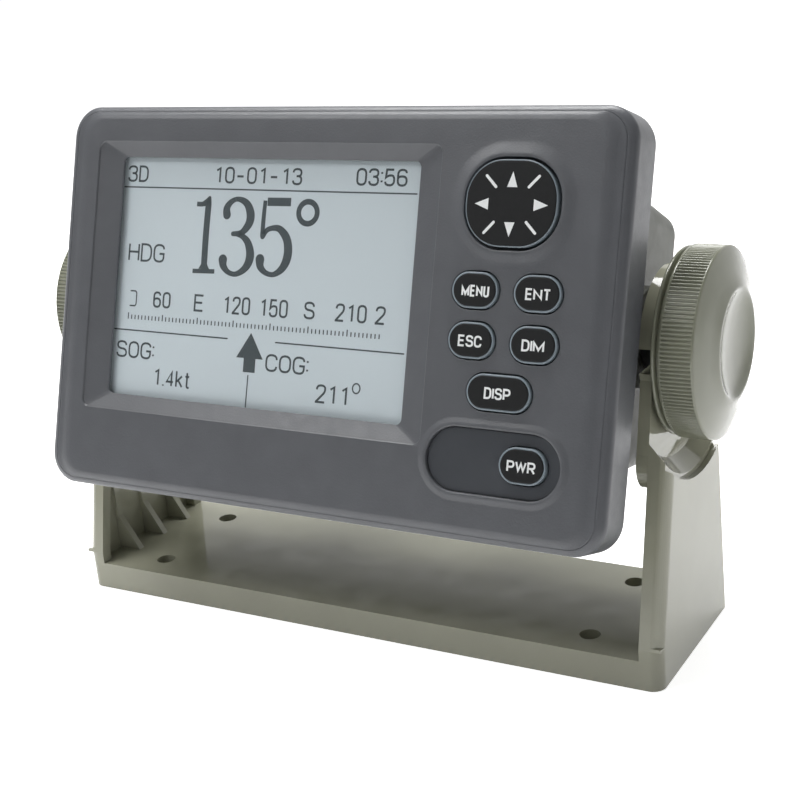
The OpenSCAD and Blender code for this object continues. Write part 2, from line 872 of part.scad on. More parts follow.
module case_screws() {
  color(steel_grey) head() screw_set(
    bezel_depth, case_screw_r, case_head_r, case_head_t, bezel_depth - case_screw_end, CASE_SCREWS
  );
}

// Main board
module main_board() {
  color(board_green) head() layer(board_depth, board_t) difference() {
    square([board_w, board_h], center = true);
    board_places() circle(small_screw_r + loose);
  }
}

module main_chips() {
  color(chip_black) head() layer(board_depth - chip_t, chip_t)
    for (c = CHIP_SHARES) translate([c[0] * board_w, c[1] * board_h])
      square([c[2] * board_w, c[3] * board_h], center = true);
}

module capacitors() {
  color([0.25, 0.27, 0.35]) head() layer(board_back, capacitor_h)
    for (c = CAPACITOR_SHARES) translate([c[0] * board_w, c[1] * board_h]) circle(capacitor_r);
}

module buzzer() {
  color(chip_black) head() layer(board_back, buzzer_h)
    translate([buzzer_x, buzzer_z]) circle(buzzer_r);
}

module clock_battery() {
  color(steel_grey) head() layer(board_back, battery_h)
    translate([battery_x, battery_z]) circle(battery_r);
}

module board_screws() {
  color(steel_grey) head() {
    layer(board_depth, board_t + small_screw_l - 2 * thin) board_places() circle(small_screw_r);
    layer(board_depth - small_head_t, small_head_t) board_places() circle(small_head_r);
  }
}

// A flat cable in three straight runs, from depth a to depth b, w wide about x
module ribbon(x, z, w, a, b, bow) {
  mid = (a + b) / 2;
  translate([x - w / 2, 0, 0]) side_plate(0, w) polygon([
    [a - face_d, z],
    [mid - face_d, z + bow],
    [b - face_d, z],
    [b - face_d, z + ribbon_t],
    [mid - face_d, z + bow + ribbon_t],
    [a - face_d, z + ribbon_t],
  ]);
}

module display_ribbon() {
  color([0.75, 0.5, 0.2]) head()
    ribbon(display_ribbon_x, board_h / 3, ribbon_w, light_back, board_depth, ribbon_bow);
}

module key_ribbon() {
  color([0.75, 0.5, 0.2]) head() ribbon(
    board_w / 2 - post_in - key_ribbon_w, 0, key_ribbon_w, key_board_depth + board_t, board_depth,
    ribbon_bow
  );
}

// Sockets on the rear wall
module socket(x) {
  color(chip_black) head() translate([x, head_depth - face_d, -socket_drop]) rotate([-90, 0, 0])
    difference() {
      union() {
        cylinder(r = socket_flange_r, h = socket_flange_t);
        translate([0, 0, -socket_in]) cylinder(r = socket_r, h = socket_in + socket_out);
      }
      translate([0, 0, socket_out - socket_bore_l])
        cylinder(r = socket_bore_r, h = socket_bore_l + eps);
      translate([0, 0, socket_out - socket_bore_l - socket_well_l])
        cylinder(r = socket_well_r, h = socket_well_l + eps);
    }
}

module power_socket() socket(-socket_x);
module sensor_socket() socket(socket_x);

module socket_nuts() {
  color(steel_grey) head() for (s = [-1, 1])
    translate([s * socket_x, rear_inside - nut_t - face_d, -socket_drop]) rotate([-90, 0, 0])
      difference() {
        cylinder(r = nut_r, h = nut_t, $fn = 6);
        translate([0, 0, -eps]) cylinder(r = socket_r + thread_play, h = nut_t + 2 * eps);
      }
}

module socket_pins() {
  well_floor = head_depth + socket_out - socket_bore_l - socket_well_l;
  color(brass_gold) head() for (s = [-1, 1]) for (i = [0:3])
    layer(well_floor, pin_l) translate([
      s * socket_x + pin_ring_r * cos(90 * i + 45), -socket_drop + pin_ring_r * sin(90 * i + 45),
    ]) circle(pin_r);
}

module ground_screw() {
  color(brass_gold) head() translate([0, head_depth - face_d, ground_z]) rotate([-90, 0, 0]) {
    translate([0, 0, -ground_in]) cylinder(r = ground_r, h = ground_in + thin);
    cylinder(r = ground_head_r, h = ground_head_t);
  }
}

// Pivot pieces
module insert(s) {
  color(brass_gold) head() on_side(s) about_pivot(insert_x)
    tube(insert_r, stud_r + thread_play, boss_x - insert_x);
}

module left_insert() insert(-1);
module right_insert() insert(1);

module side_washer(s) {
  color(rubber_black) head() on_side(s) about_pivot(boss_x)
    tube(side_washer_r, stud_r + loose, hub_x - slide_gap - boss_x);
}

module left_side_washer() side_washer(-1);
module right_side_washer() side_washer(1);

module thrust_washer(s) {
  color(rubber_black) head() on_side(s) about_pivot(channel_x + slide_gap)
    tube(thrust_washer_r, stud_r + loose, thrust_washer_t);
}

module left_thrust_washer() thrust_washer(-1);
module right_thrust_washer() thrust_washer(1);

module rib_ring() {
  polygon([
    for (i = [0:2 * knob_ribs - 1])
      let (
        r = i % 2 == 0 ? knob_r - rib_inset : knob_body_r - rib_inset,
        a = 180 * i / knob_ribs
      ) [r * cos(a), r * sin(a)]
  ]);
}

module knob(s) {
  color(olive_grey) head() on_side(s) about_pivot(knob_x) difference() {
    union() {
      rotate_extrude() polygon([
        [0, 0],
        [knob_body_r, 0],
        [knob_body_r, knob_disc_t],
        [knob_groove_r, knob_disc_t + knob_ease],
        [knob_groove_r, knob_band_h - knob_ease],
        [knob_r - knob_ease, knob_band_h],
        [knob_r, knob_band_h + knob_ease],
        [knob_r, knob_band_h + knob_border],
        [knob_body_r, knob_band_h + knob_border],
        [knob_body_r, knob_cone_z - knob_border],
        [knob_r, knob_cone_z - knob_border],
        [knob_r, knob_cone_z - knob_ease],
        [knob_r - knob_ease, knob_cone_z],
        [dish_r + knob_ease, knob_top],
        [dish_r - knob_ease, knob_top - knob_ease / 2],
        [dish_r / 2, knob_top - dish_depth * dish_mid_share],
        [0, knob_top - dish_depth],
      ]);
      translate([0, 0, knob_band_h + knob_border - rib_inset])
        linear_extrude(knob_band_w - 2 * (knob_border - rib_inset)) rib_ring();
    }
    translate([0, 0, -eps]) cylinder(r = stud_flange_r + thread_play, h = stud_flange_t + eps);
    translate([0, 0, -eps]) cylinder(r = stud_r + thread_play, h = stud_in_knob + eps);
  }
}

module left_knob() knob(-1);
module right_knob() knob(1);

module stud(s) {
  color(steel_grey) head() on_side(s) {
    about_pivot(stud_end_x) cylinder(r = stud_r, h = knob_x + stud_in_knob - stud_end_x);
    about_pivot(knob_x) cylinder(r = stud_flange_r, h = stud_flange_t);
  }
}

module left_stud() stud(-1);
module right_stud() stud(1);

// Bracket
function front_y(z) = -foot_y + front_lean_share * max(0, z - foot_h);
function rear_y(z) = foot_y - rear_lean_share * z;

// An arm's outline from the side, drawn in by t at the front and rear
module arm_profile(low, high, t) {
  bend = max(low, foot_h);
  polygon([
    [front_y(low) + t, low],
    [front_y(bend) + t, bend],
    [front_y(high) + t, high],
    [rear_y(high) - t, high],
    [rear_y(low) - t, low],
  ]);
}

module hub_plate_profile() {
  low = hub_plate_low + hub_plate_r;
  translate([pivot_y, pivot_z]) circle(hub_r);
  arm_profile(low, pivot_z, 0);
  translate([front_y(low) + hub_plate_r, hub_plate_low])
    square([rear_y(low) - front_y(low) - 2 * hub_plate_r, hub_plate_r + eps]);
  translate([front_y(low) + hub_plate_r, low]) circle(hub_plate_r);
  translate([rear_y(low) - hub_plate_r, low]) circle(hub_plate_r);
}

module gusset(y) {
  wall_x = arm_x - arm_wall_t;
  top = pivot_z - cavity_r + eps;
  translate([0, y + gusset_t / 2, 0]) rotate([90, 0, 0]) linear_extrude(gusset_t) polygon([
    [channel_x - gusset_foot, base_t - thin],
    [channel_x - gusset_foot, base_t],
    [wall_x - gusset_mid, base_t + gusset_rise],
    [wall_x - gusset_edge, top],
    [wall_x + thin, top],
    [wall_x + thin, base_t - thin],
  ]);
}

module scoop() {
  about_pivot(channel_x) {
    cylinder(r1 = scoop_r_in, r2 = scoop_r_out - scoop_step_r, h = channel_w - scoop_step + thin);
    translate([0, 0, channel_w - scoop_step]) cylinder(r = scoop_r_out, h = scoop_step + eps);
  }
}

module arm() {
  difference() {
    side_plate(channel_x, channel_w) arm_profile(0, pivot_z, 0);
    side_plate(channel_x - eps, channel_w - arm_wall_t + eps) difference() {
      arm_profile(base_t, pivot_z, arm_flange_t);
      translate([pivot_y, pivot_z]) circle(cavity_r);
    }
    translate([0, pivot_y, pivot_z]) scoop();
  }
  side_plate(hub_x, hub_t) hub_plate_profile();
  for (g = GUSSET_SHARES) gusset(g * bracket_d);
}

// What rounds a standing edge of height h off, with the edge's middle at the origin
module edge_cut(h) {
  linear_extrude(h) polygon([
    for (a = [-90:edge_step:0]) arm_round * [cos(a), sin(a)],
    [arm_round + eps, 0],
    [arm_round + eps, -arm_round - eps],
    [0, -arm_round - eps],
  ]);
}

// Rounds the outer front edge of an arm, along its upright foot and its leaning part
module front_edge_cut() {
  translate([arm_x - arm_round, -foot_y + arm_round, 0]) {
    translate([0, 0, -eps]) edge_cut(foot_h + eps);
    translate([0, 0, foot_h]) rotate([-lean_angle, 0, 0]) edge_cut(pivot_z);
  }
}

module base_pockets() {
  difference() {
    for (i = [0:pocket_cols - 1])
      for (j = [0:pocket_rows - 1]) translate([
        -bracket_w / 2 + skirt_t + i * (pocket_w + rib_t),
        -bracket_d / 2 + skirt_t + j * (pocket_d + rib_t),
        -eps,
      ]) cube([pocket_w, pocket_d, base_t - skin_t + eps]);
    for (x = [-1, 1])
      for (y = [-1, 1]) translate([x * hole_dx / 2, y * hole_dy / 2, -2 * eps])
        cylinder(r = hole_boss_r, h = base_t + 2 * eps);
    for (s = [-1, 1]) translate([s * arm_x, 0, 0])
      cube([2 * channel_w, bracket_d, 2 * base_t], center = true);
  }
}

module u_bracket() {
  color(olive_grey) difference() {
    union() {
      linear_extrude(base_t) round_rect(bracket_w, bracket_d, base_r);
      for (s = [-1, 1]) on_side(s) arm();
    }
    base_pockets();
    for (s = [-1, 1]) on_side(s) front_edge_cut();
    for (x = [-1, 1])
      for (y = [-1, 1]) translate([x * hole_dx / 2, y * hole_dy / 2, -eps])
        cylinder(d = hole_d, h = base_t + 2 * eps);
    for (s = [-1, 1]) on_side(s) translate([hub_x - eps, pivot_y, pivot_z]) {
      rotate([0, 90, 0]) cylinder(r = slot_r, h = hub_t + 2 * eps);
      translate([0, -bracket_d, -slot_r]) cube([hub_t + 2 * eps, bracket_d, 2 * slot_r]);
    }
  }
}

u_bracket();
front_bezel();
window_gasket();
lcd_window();
lcd_panel();
backlight();
lcd_frame();
frame_screws();
keypad_mat();
key_board();
tact_switches();
key_board_screws();
power_plate();
rear_cover();
case_gasket();
case_screws();
main_board();
main_chips();
capacitors();
buzzer();
clock_battery();
board_screws();
display_ribbon();
key_ribbon();
power_socket();
sensor_socket();
socket_nuts();
socket_pins();
ground_screw();
left_insert();
right_insert();
left_side_washer();
right_side_washer();
menu_key();
enter_key();
escape_key();
dim_key();
display_key();
power_key();
cursor_pivot();
cursor_pad();
left_thrust_washer();
right_thrust_washer();
left_knob();
right_knob();
left_stud();
right_stud();
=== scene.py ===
"""Looks of an electronic compass: a display head in a U bracket, clamped by two ribbed knobs.

Sizes of the object are in millimetres. Head pieces are built upright about the pivot, with x to the
right, y back from the pivot and z up, and HEAD leans them back into the frame's metres. Depths are
measured back from the front face, so that a proud surface has a depth below zero.
"""

import math

import bmesh
import bpy
from mathutils import Matrix, Vector


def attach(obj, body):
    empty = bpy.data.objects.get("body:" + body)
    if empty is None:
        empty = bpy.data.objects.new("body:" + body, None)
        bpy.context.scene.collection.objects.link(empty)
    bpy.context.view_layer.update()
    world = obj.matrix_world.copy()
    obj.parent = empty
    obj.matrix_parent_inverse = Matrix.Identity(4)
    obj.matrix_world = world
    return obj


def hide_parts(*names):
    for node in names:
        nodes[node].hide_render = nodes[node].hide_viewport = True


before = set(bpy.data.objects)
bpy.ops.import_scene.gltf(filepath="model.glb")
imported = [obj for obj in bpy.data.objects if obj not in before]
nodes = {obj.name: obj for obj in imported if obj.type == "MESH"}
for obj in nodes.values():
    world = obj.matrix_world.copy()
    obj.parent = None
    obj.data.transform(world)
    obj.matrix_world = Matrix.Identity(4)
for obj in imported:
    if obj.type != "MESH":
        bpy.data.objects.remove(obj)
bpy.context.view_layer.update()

MM = 0.001
TILT = math.radians(19.1)
PIVOT = Vector((0, 9, 81))
FACE = 37.1
HEAD = Matrix.Scale(MM, 4) @ Matrix.Translation(PIVOT) @ Matrix.Rotation(-TILT, 4, "X")


# ---- Materials ----

NOISE_ROUGH = 0.5
ROUGH_SWING = 0.04
GRAIN_DEPTH = 0.1
BEVEL_SAMPLES = 4


def srgb(r, g, b):
    """A colour written as 0 to 255 display values, as Blender's linear colour."""
    shares = [c / 255 for c in (r, g, b)]
    linear = [c / 12.92 if c <= 0.04045 else ((c + 0.055) / 1.055) ** 2.4 for c in shares]
    return (*linear, 1.0)


def shade(colour, factor):
    return (*[min(1.0, c * factor) for c in colour[:3]], 1.0)


def map_range(tree, value, low, high, start, end):
    """The output that goes from low to high while the value goes from start to end."""
    node = tree.nodes.new("ShaderNodeMapRange")
    limits = (("From Min", start), ("From Max", end), ("To Min", low), ("To Max", high))
    for key, number in limits:
        node.inputs[key].default_value = number
    tree.links.new(value, node.inputs["Value"])
    return node.outputs["Result"]


class Nodes:
    """A material's node tree, built from one shader outwards."""

    def __init__(self, name):
        self.material = bpy.data.materials.new(name)
        self.material.use_nodes = True
        self.tree = self.material.node_tree
        self.tree.nodes.clear()
        self.shader = self.add("ShaderNodeBsdfPrincipled")
        output = self.add("ShaderNodeOutputMaterial")
        self.link(self.shader.outputs["BSDF"], output.inputs["Surface"])
        self.place = self.add("ShaderNodeTexCoord").outputs["Object"]

    def add(self, kind, **settings):
        node = self.tree.nodes.new(kind)
        for key, value in settings.items():
            if key in node.inputs:
                node.inputs[key].default_value = value
            else:
                setattr(node, key, value)
        return node

    def link(self, out, into):
        self.tree.links.new(out, into)

    def noise(self, size, detail=3.0):
        """Noise whose features are about size millimetres across."""
        scale = 1 / (size * MM)
        node = self.add("ShaderNodeTexNoise", Scale=scale, Detail=detail, Roughness=NOISE_ROUGH)
        self.link(self.place, node.inputs["Vector"])
        return node.outputs["Fac"]

    def spread(self, value, low, high, start=0.3, end=0.7):
        """A value mapped to low to high, by default from the middle part of a noise."""
        return map_range(self.tree, value, low, high, start, end)

    def blend(self, value, a, b):
        node = self.add("ShaderNodeMix", data_type="RGBA")
        self.link(value, node.inputs[0])
        for colour, socket in ((a, node.inputs[6]), (b, node.inputs[7])):
            if isinstance(colour, tuple):
                socket.default_value = colour
            else:
                self.link(colour, socket)
        return node.outputs[2]


def surface(name, colour, rough, metal=0.0, mottle=0.05, mottle_size=9.0, grain=0.0,
            grain_size=0.35, rounding=0.0, coat=0.0, specular=0.5):
    """A moulded, turned or printed surface: mottled colour, grain as bump and eased edges."""
    n = Nodes(name)
    n.shader.inputs["Metallic"].default_value = metal
    n.shader.inputs["Specular IOR Level"].default_value = specular
    n.shader.inputs["Coat Weight"].default_value = coat
    cloud = n.spread(n.noise(mottle_size), 0.0, 1.0)
    tone = n.blend(cloud, shade(colour, 1 - mottle), shade(colour, 1 + mottle))
    n.link(tone, n.shader.inputs["Base Color"])
    sheen = n.spread(n.noise(mottle_size / 3), rough - ROUGH_SWING, rough + ROUGH_SWING)
    n.link(sheen, n.shader.inputs["Roughness"])
    normal = None
    if rounding:
        bevel = n.add("ShaderNodeBevel", samples=BEVEL_SAMPLES, Radius=rounding * MM)
        normal = bevel.outputs["Normal"]
    if grain:
        bump = n.add("ShaderNodeBump", Strength=grain, Distance=GRAIN_DEPTH * MM)
        n.link(n.noise(grain_size, detail=2.0), bump.inputs["Height"])
        if normal:
            n.link(normal, bump.inputs["Normal"])
        normal = bump.outputs["Normal"]
    if normal:
        n.link(normal, n.shader.inputs["Normal"])
    return n.material


def clear_window(name):
    """The clear window: it lets the display through and only adds a faint gloss."""
    n = Nodes(name)
    n.shader.inputs["Alpha"].default_value = 0.04
    n.shader.inputs["IOR"].default_value = 1.5
    tone = n.blend(n.noise(30), srgb(150, 160, 165), srgb(170, 180, 184))
    n.link(tone, n.shader.inputs["Base Color"])
    n.link(n.spread(n.noise(12), 0.05, 0.09), n.shader.inputs["Roughness"])
    return n.material


BEZEL = surface("bezel_plastic", srgb(92, 94, 98), 0.38, mottle=0.05, grain=0.5, grain_size=0.5)
PLATE = surface("plate_plastic", srgb(62, 65, 70), 0.42, mottle=0.04, grain=0.2)
COVER = surface("cover_plastic", srgb(98, 100, 92), 0.5, mottle=0.03, grain=0.15)
BRACKET = surface("bracket_plastic", srgb(159, 159, 141), 0.08, mottle=0.04, mottle_size=22)
KNOB = surface("knob_plastic", srgb(136, 138, 121), 0.12, mottle=0.03, mottle_size=16)
WINDOW = clear_window("window_glass")
DISPLAY = surface("display_glass", srgb(204, 215, 220), 0.4, mottle=0.012, mottle_size=26)
INK = surface("display_ink", srgb(74, 82, 85), 0.5, mottle=0.03, mottle_size=3, specular=0.2)
LIGHT = surface("light_plastic", srgb(224, 230, 226), 0.35, mottle=0.02, rounding=0.3)
CAP = surface("key_cap_rubber", srgb(26, 27, 28), 0.6, mottle=0.06, mottle_size=2, grain=0.15,
              specular=0.25)
SKIRT = surface("key_skirt_rubber", srgb(132, 144, 152), 0.45, mottle=0.03, mottle_size=4)
LABEL = surface("label_ink", srgb(238, 240, 240), 0.5, mottle=0.02, mottle_size=1)
RUBBER = surface("seal_rubber", srgb(32, 32, 33), 0.7, mottle=0.08, mottle_size=3, grain=0.3,
                 rounding=0.3)
PLATED = surface("plated_steel", srgb(196, 198, 200), 0.32, metal=1.0, mottle=0.04, rounding=0.2)
SCREW = surface("screw_steel", srgb(188, 190, 192), 0.28, metal=1.0, mottle=0.06, mottle_size=2,
                rounding=0.15)
BOARD = surface("board_laminate", srgb(38, 98, 60), 0.4, mottle=0.14, mottle_size=5, rounding=0.2,
                coat=0.4)
CHIP = surface("switch_plastic", srgb(36, 36, 38), 0.42, mottle=0.08, mottle_size=2, grain=0.2,
               rounding=0.2)
CAN = surface("can_aluminium", srgb(120, 128, 150), 0.35, metal=0.6, mottle=0.05, rounding=0.4)
RIBBON = surface("ribbon_film", srgb(196, 132, 62), 0.35, mottle=0.08, mottle_size=3)
SOCKET = surface("socket_plastic", srgb(42, 42, 44), 0.4, mottle=0.06, grain=0.2, rounding=0.35)
BRASS = surface("contact_brass", srgb(206, 170, 96), 0.3, metal=1.0, mottle=0.06, mottle_size=3,
                rounding=0.25)

NODE_MATERIALS = {
    BRACKET: ["u_bracket"],
    PLATE: ["power_plate"],
    WINDOW: ["lcd_window"],
    LIGHT: ["backlight"],
    RUBBER: ["window_gasket", "case_gasket", "left_side_washer", "right_side_washer",
             "left_thrust_washer", "right_thrust_washer", "keypad_mat"],
    PLATED: ["lcd_frame", "clock_battery", "socket_nuts", "cursor_pivot", "left_stud",
             "right_stud"],
    SCREW: ["frame_screws", "key_board_screws", "case_screws", "board_screws"],
    BOARD: ["key_board", "main_board"],
    CHIP: ["tact_switches", "main_chips", "buzzer"],
    CAN: ["capacitors"],
    RIBBON: ["display_ribbon", "key_ribbon"],
    SOCKET: ["power_socket", "sensor_socket"],
    BRASS: ["socket_pins", "ground_screw", "left_insert", "right_insert"],
}
for material, names in NODE_MATERIALS.items():
    for name in names:
        nodes[name].data.materials.clear()
        nodes[name].data.materials.append(material)


# ---- Mesh helpers ----

# Least corner radius, so that a corner's points stay apart
SHARPEST = 0.05


def rounded(w, h, r, middle=(0, 0), steps=12):
    """Points (x, z) of a rounded rectangle, the same count and order for any size."""
    points = []
    x, z = w / 2 - r, h / 2 - r
    for quarter, (cx, cz) in enumerate(((x, z), (-x, z), (-x, -z), (x, -z))):
        for i in range(steps + 1):
            a = math.pi / 2 * (quarter + i / steps)
            points.append((middle[0] + cx + r * math.cos(a), middle[1] + cz + r * math.sin(a)))
    return points


def grown(shape, grow):
    """A rounded rectangle (w, h, r, middle) made larger by grow on every side."""
    w, h, r, middle = shape
    return rounded(w + 2 * grow, h + 2 * grow, max(SHARPEST, r + grow), middle)


def loop(bm, points, depth):
    return [bm.verts.new((x, depth - FACE, z)) for x, z in points]


def skin(bm, loops):
    """Walls between loops of equal length, each to the next."""
    for a, b in zip(loops, loops[1:]):
        for i, _ in enumerate(a):
            j = (i + 1) % len(a)
            bm.faces.new((a[i], a[j], b[j], b[i]))


def fill(bm, loops):
    """A flat face that spans the loops, the later ones as holes."""
    edges = []
    for verts in loops:
        for i, v in enumerate(verts):
            pair = (v, verts[(i + 1) % len(verts)])
            edges.append(bm.edges.get(pair) or bm.edges.new(pair))
    bmesh.ops.triangle_fill(bm, use_beauty=True, edges=edges)


def ribbon(bm, left, right, depth):
    """A flat band between two lines of points."""
    a, b = loop(bm, left, depth), loop(bm, right, depth)
    for i in range(len(a) - 1):
        bm.faces.new((a[i], a[i + 1], b[i + 1], b[i]))


def piece(name, bm, material, body, replaced=(), crease=40.0):
    """A finished head piece: smooth but for its creases, riding on a body in place of CAD nodes."""
    bmesh.ops.recalc_face_normals(bm, faces=bm.faces)
    mesh = bpy.data.meshes.new(name)
    bm.to_mesh(mesh)
    bm.free()
    mesh.transform(HEAD)
    mesh.materials.append(material)
    mesh.shade_smooth()
    mesh.set_sharp_from_angle(angle=math.radians(crease))
    obj = bpy.data.objects.new(name, mesh)
    bpy.context.collection.objects.link(obj)
    weighted = obj.modifiers.new("even_normals", "WEIGHTED_NORMAL")
    weighted.keep_sharp = True
    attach(obj, body)
    if replaced:
        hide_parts(*replaced)


# ---- Front bezel ----

BEZEL_MIDDLE = (0, -0.2)
# Half width, half height, corner radius and depth, from the raised face out to the rear edge
BEZEL_PROFILE = [
    (76.6, 48.9, 4.8, 0.0),
    (77.5, 49.4, 5.1, 0.05),
    (78.6, 50.0, 5.6, 0.22),
    (79.6, 50.5, 6.0, 0.48),
    (80.5, 50.8, 6.3, 0.72),
    (81.5, 51.0, 6.7, 0.8),
    (81.8, 51.1, 6.8, 0.86),
    (81.95, 51.15, 6.9, 1.0),
    (82.1, 51.2, 6.9, 0.9),
    (82.9, 51.7, 7.4, 1.05),
    (83.8, 52.4, 8.1, 1.7),
    (84.25, 52.7, 8.4, 2.3),
    (84.4, 52.8, 8.5, 3.0),
    (84.4, 52.8, 8.5, 12.9),
    (84.2, 52.6, 8.3, 13.3),
    (83.9, 52.3, 8.0, 13.4),
    (81.4, 49.8, 5.5, 13.4),
    (81.4, 49.8, 5.5, 10.2),
    (78.9, 47.3, 3.0, 10.2),
    (78.9, 47.3, 3.0, 3.2),
]
PLATE_BACK = 3.2
BEZEL_CREASE = 42
WINDOW_SHAPE = (94, 65.5, 1.6, (-19, 6.05))
RECESS_SHAPE = (108.5, 74.2, 2.4, (-19.35, 5.9))
PAD_SHAPE = (24, 20.8, 9.4, (54.8, 28.8))
PAD_GAP = 0.7
PILL_SHAPE = (35.8, 15.9, 7.95, (54.7, -33.15))
PILL_FLOOR = 1.1
KEY_GAP = 0.35
KEY_H = 8.8
# Growth of each opening's outline and the depth there, from the face down through the plate
RECESS_ROWS = [(0.0, 0.0), (-0.2, 0.1), (-0.4, 0.45)]
WINDOW_ROWS = [(0.15, 1.93), (0.0, 2.05), (0.0, 2.8), (2.2, 2.8), (2.2, PLATE_BACK)]
KEY_HOLE_ROWS = [
    (KEY_GAP + 0.3, 0), (KEY_GAP + 0.06, 0.12), (KEY_GAP, 0.4), (KEY_GAP, PLATE_BACK),
]
PAD_HOLE_ROWS = [
    (PAD_GAP + 4.2, 0), (PAD_GAP + 3.3, -0.08), (PAD_GAP + 2.4, -0.3), (PAD_GAP + 1.5, -0.56),
    (PAD_GAP + 0.9, -0.68), (PAD_GAP + 0.45, -0.7), (PAD_GAP + 0.12, -0.6), (PAD_GAP, -0.35),
    (PAD_GAP, PLATE_BACK),
]
PILL_ROWS = [
    (2.5, 0), (2.0, -0.07), (1.3, -0.3), (0.8, -0.4), (0.35, -0.4), (0.08, -0.25), (0, 0),
    (0, PILL_FLOOR),
]
POWER_HOLE_ROWS = [(KEY_GAP, PILL_FLOOR), (KEY_GAP, PLATE_BACK)]
# Width, middle, text, and the text's left and right ends
KEYS = {
    "menu_key": (12.3, (46.75, 7.85), "MENU", (43.4, 50.8)),
    "enter_key": (12.3, (63.25, 7.85), "ENT", (60.3, 66.9)),
    "escape_key": (12.3, (46.75, -4.25), "ESC", (43.5, 49.9)),
    "dim_key": (12.3, (63.25, -4.25), "DIM", (60.4, 66.3)),
    "display_key": (17.0, (55.15, -16.3), "DISP", (51.6, 58.6)),
    "power_key": (12.3, (62.95, -33.0), "PWR", (59.1, 66.6)),
}


def key_shape(name):
    w, middle, _, _ = KEYS[name]
    return (w, KEY_H, KEY_H / 2, middle)


def stepped(bm, shape, rows):
    """Walls of an outline that grows and shrinks along rows of growth and depth."""
    loops = [loop(bm, grown(shape, grow), depth) for grow, depth in rows]
    skin(bm, loops)
    return loops


def front_bezel():
    bm = bmesh.new()
    outside = [
        loop(bm, rounded(2 * w, 2 * h, r, BEZEL_MIDDLE), depth) for w, h, r, depth in BEZEL_PROFILE
    ]
    skin(bm, outside)
    recess = [loop(bm, grown(RECESS_SHAPE, grow), depth) for grow, depth in RECESS_ROWS]
    window = [loop(bm, grown(WINDOW_SHAPE, grow), depth) for grow, depth in WINDOW_ROWS]
    skin(bm, recess + window)
    front, back = [outside[0], recess[0]], [outside[-1], window[-1]]
    openings = [(key_shape(name), KEY_HOLE_ROWS) for name in KEYS if name != "power_key"]
    for shape, rows in (*openings, (PAD_SHAPE, PAD_HOLE_ROWS)):
        loops = stepped(bm, shape, rows)
        front.append(loops[0])
        back.append(loops[-1])
    rim = stepped(bm, PILL_SHAPE, PILL_ROWS)
    hole = stepped(bm, key_shape("power_key"), POWER_HOLE_ROWS)
    fill(bm, [rim[-1], hole[0]])
    front.append(rim[0])
    back.append(hole[-1])
    fill(bm, front)
    fill(bm, back)
    piece("bezel_shell", bm, BEZEL, "head", ["front_bezel"], BEZEL_CREASE)


front_bezel()


# ---- Keys and cursor pad ----

# Inset from the outline and depth, from the hidden flange up to the cap
KEY_SKIRT = [
    (-0.95, 4.5), (-0.95, 3.5), (0, 3.5), (0, -0.4), (0.08, -0.55), (0.24, -0.64), (0.46, -0.62),
    (0.52, -0.5),
]
KEY_CAP = [(0.5, -0.5), (0.54, -0.78), (0.7, -0.88), (1.0, -0.9)]
PAD_SKIRT = [
    (-1.5, 5.3), (-1.5, 4.5), (0, 4.5), (0, -1.05), (0.06, -1.2), (0.16, -1.26), (0.28, -1.24),
    (0.32, -1.1),
]
PAD_CAP = [(0.3, -1.1), (0.34, -1.3), (0.5, -1.38), (0.8, -1.4)]
LABEL_T = 0.02
LABEL_H = 2.85
LABEL_DROP = 0.2
LABEL_PEN = 0.5
LABEL_GAP = 0.18


def rubber_part(name, shape, rows, material, body, replaced=()):
    """A closed solid from rows of inset and depth."""
    bm = bmesh.new()
    loops = stepped(bm, shape, [(-inset, depth) for inset, depth in rows])
    fill(bm, [loops[0]])
    fill(bm, [loops[-1]])
    piece(name, bm, material, body, replaced)


def rubber_key(name, shape, skirt, cap, body):
    rubber_part(name + "_skirt", shape, skirt, SKIRT, body, [name])
    rubber_part(name + "_cap", shape, cap, CAP, body)


def plate(bm, points, depth):
    """A thin flat shape from (x, z) points, its back at depth."""
    back, front = loop(bm, points, depth), loop(bm, points, depth - LABEL_T)
    skin(bm, [back, front])
    fill(bm, [front])
    fill(bm, [back])


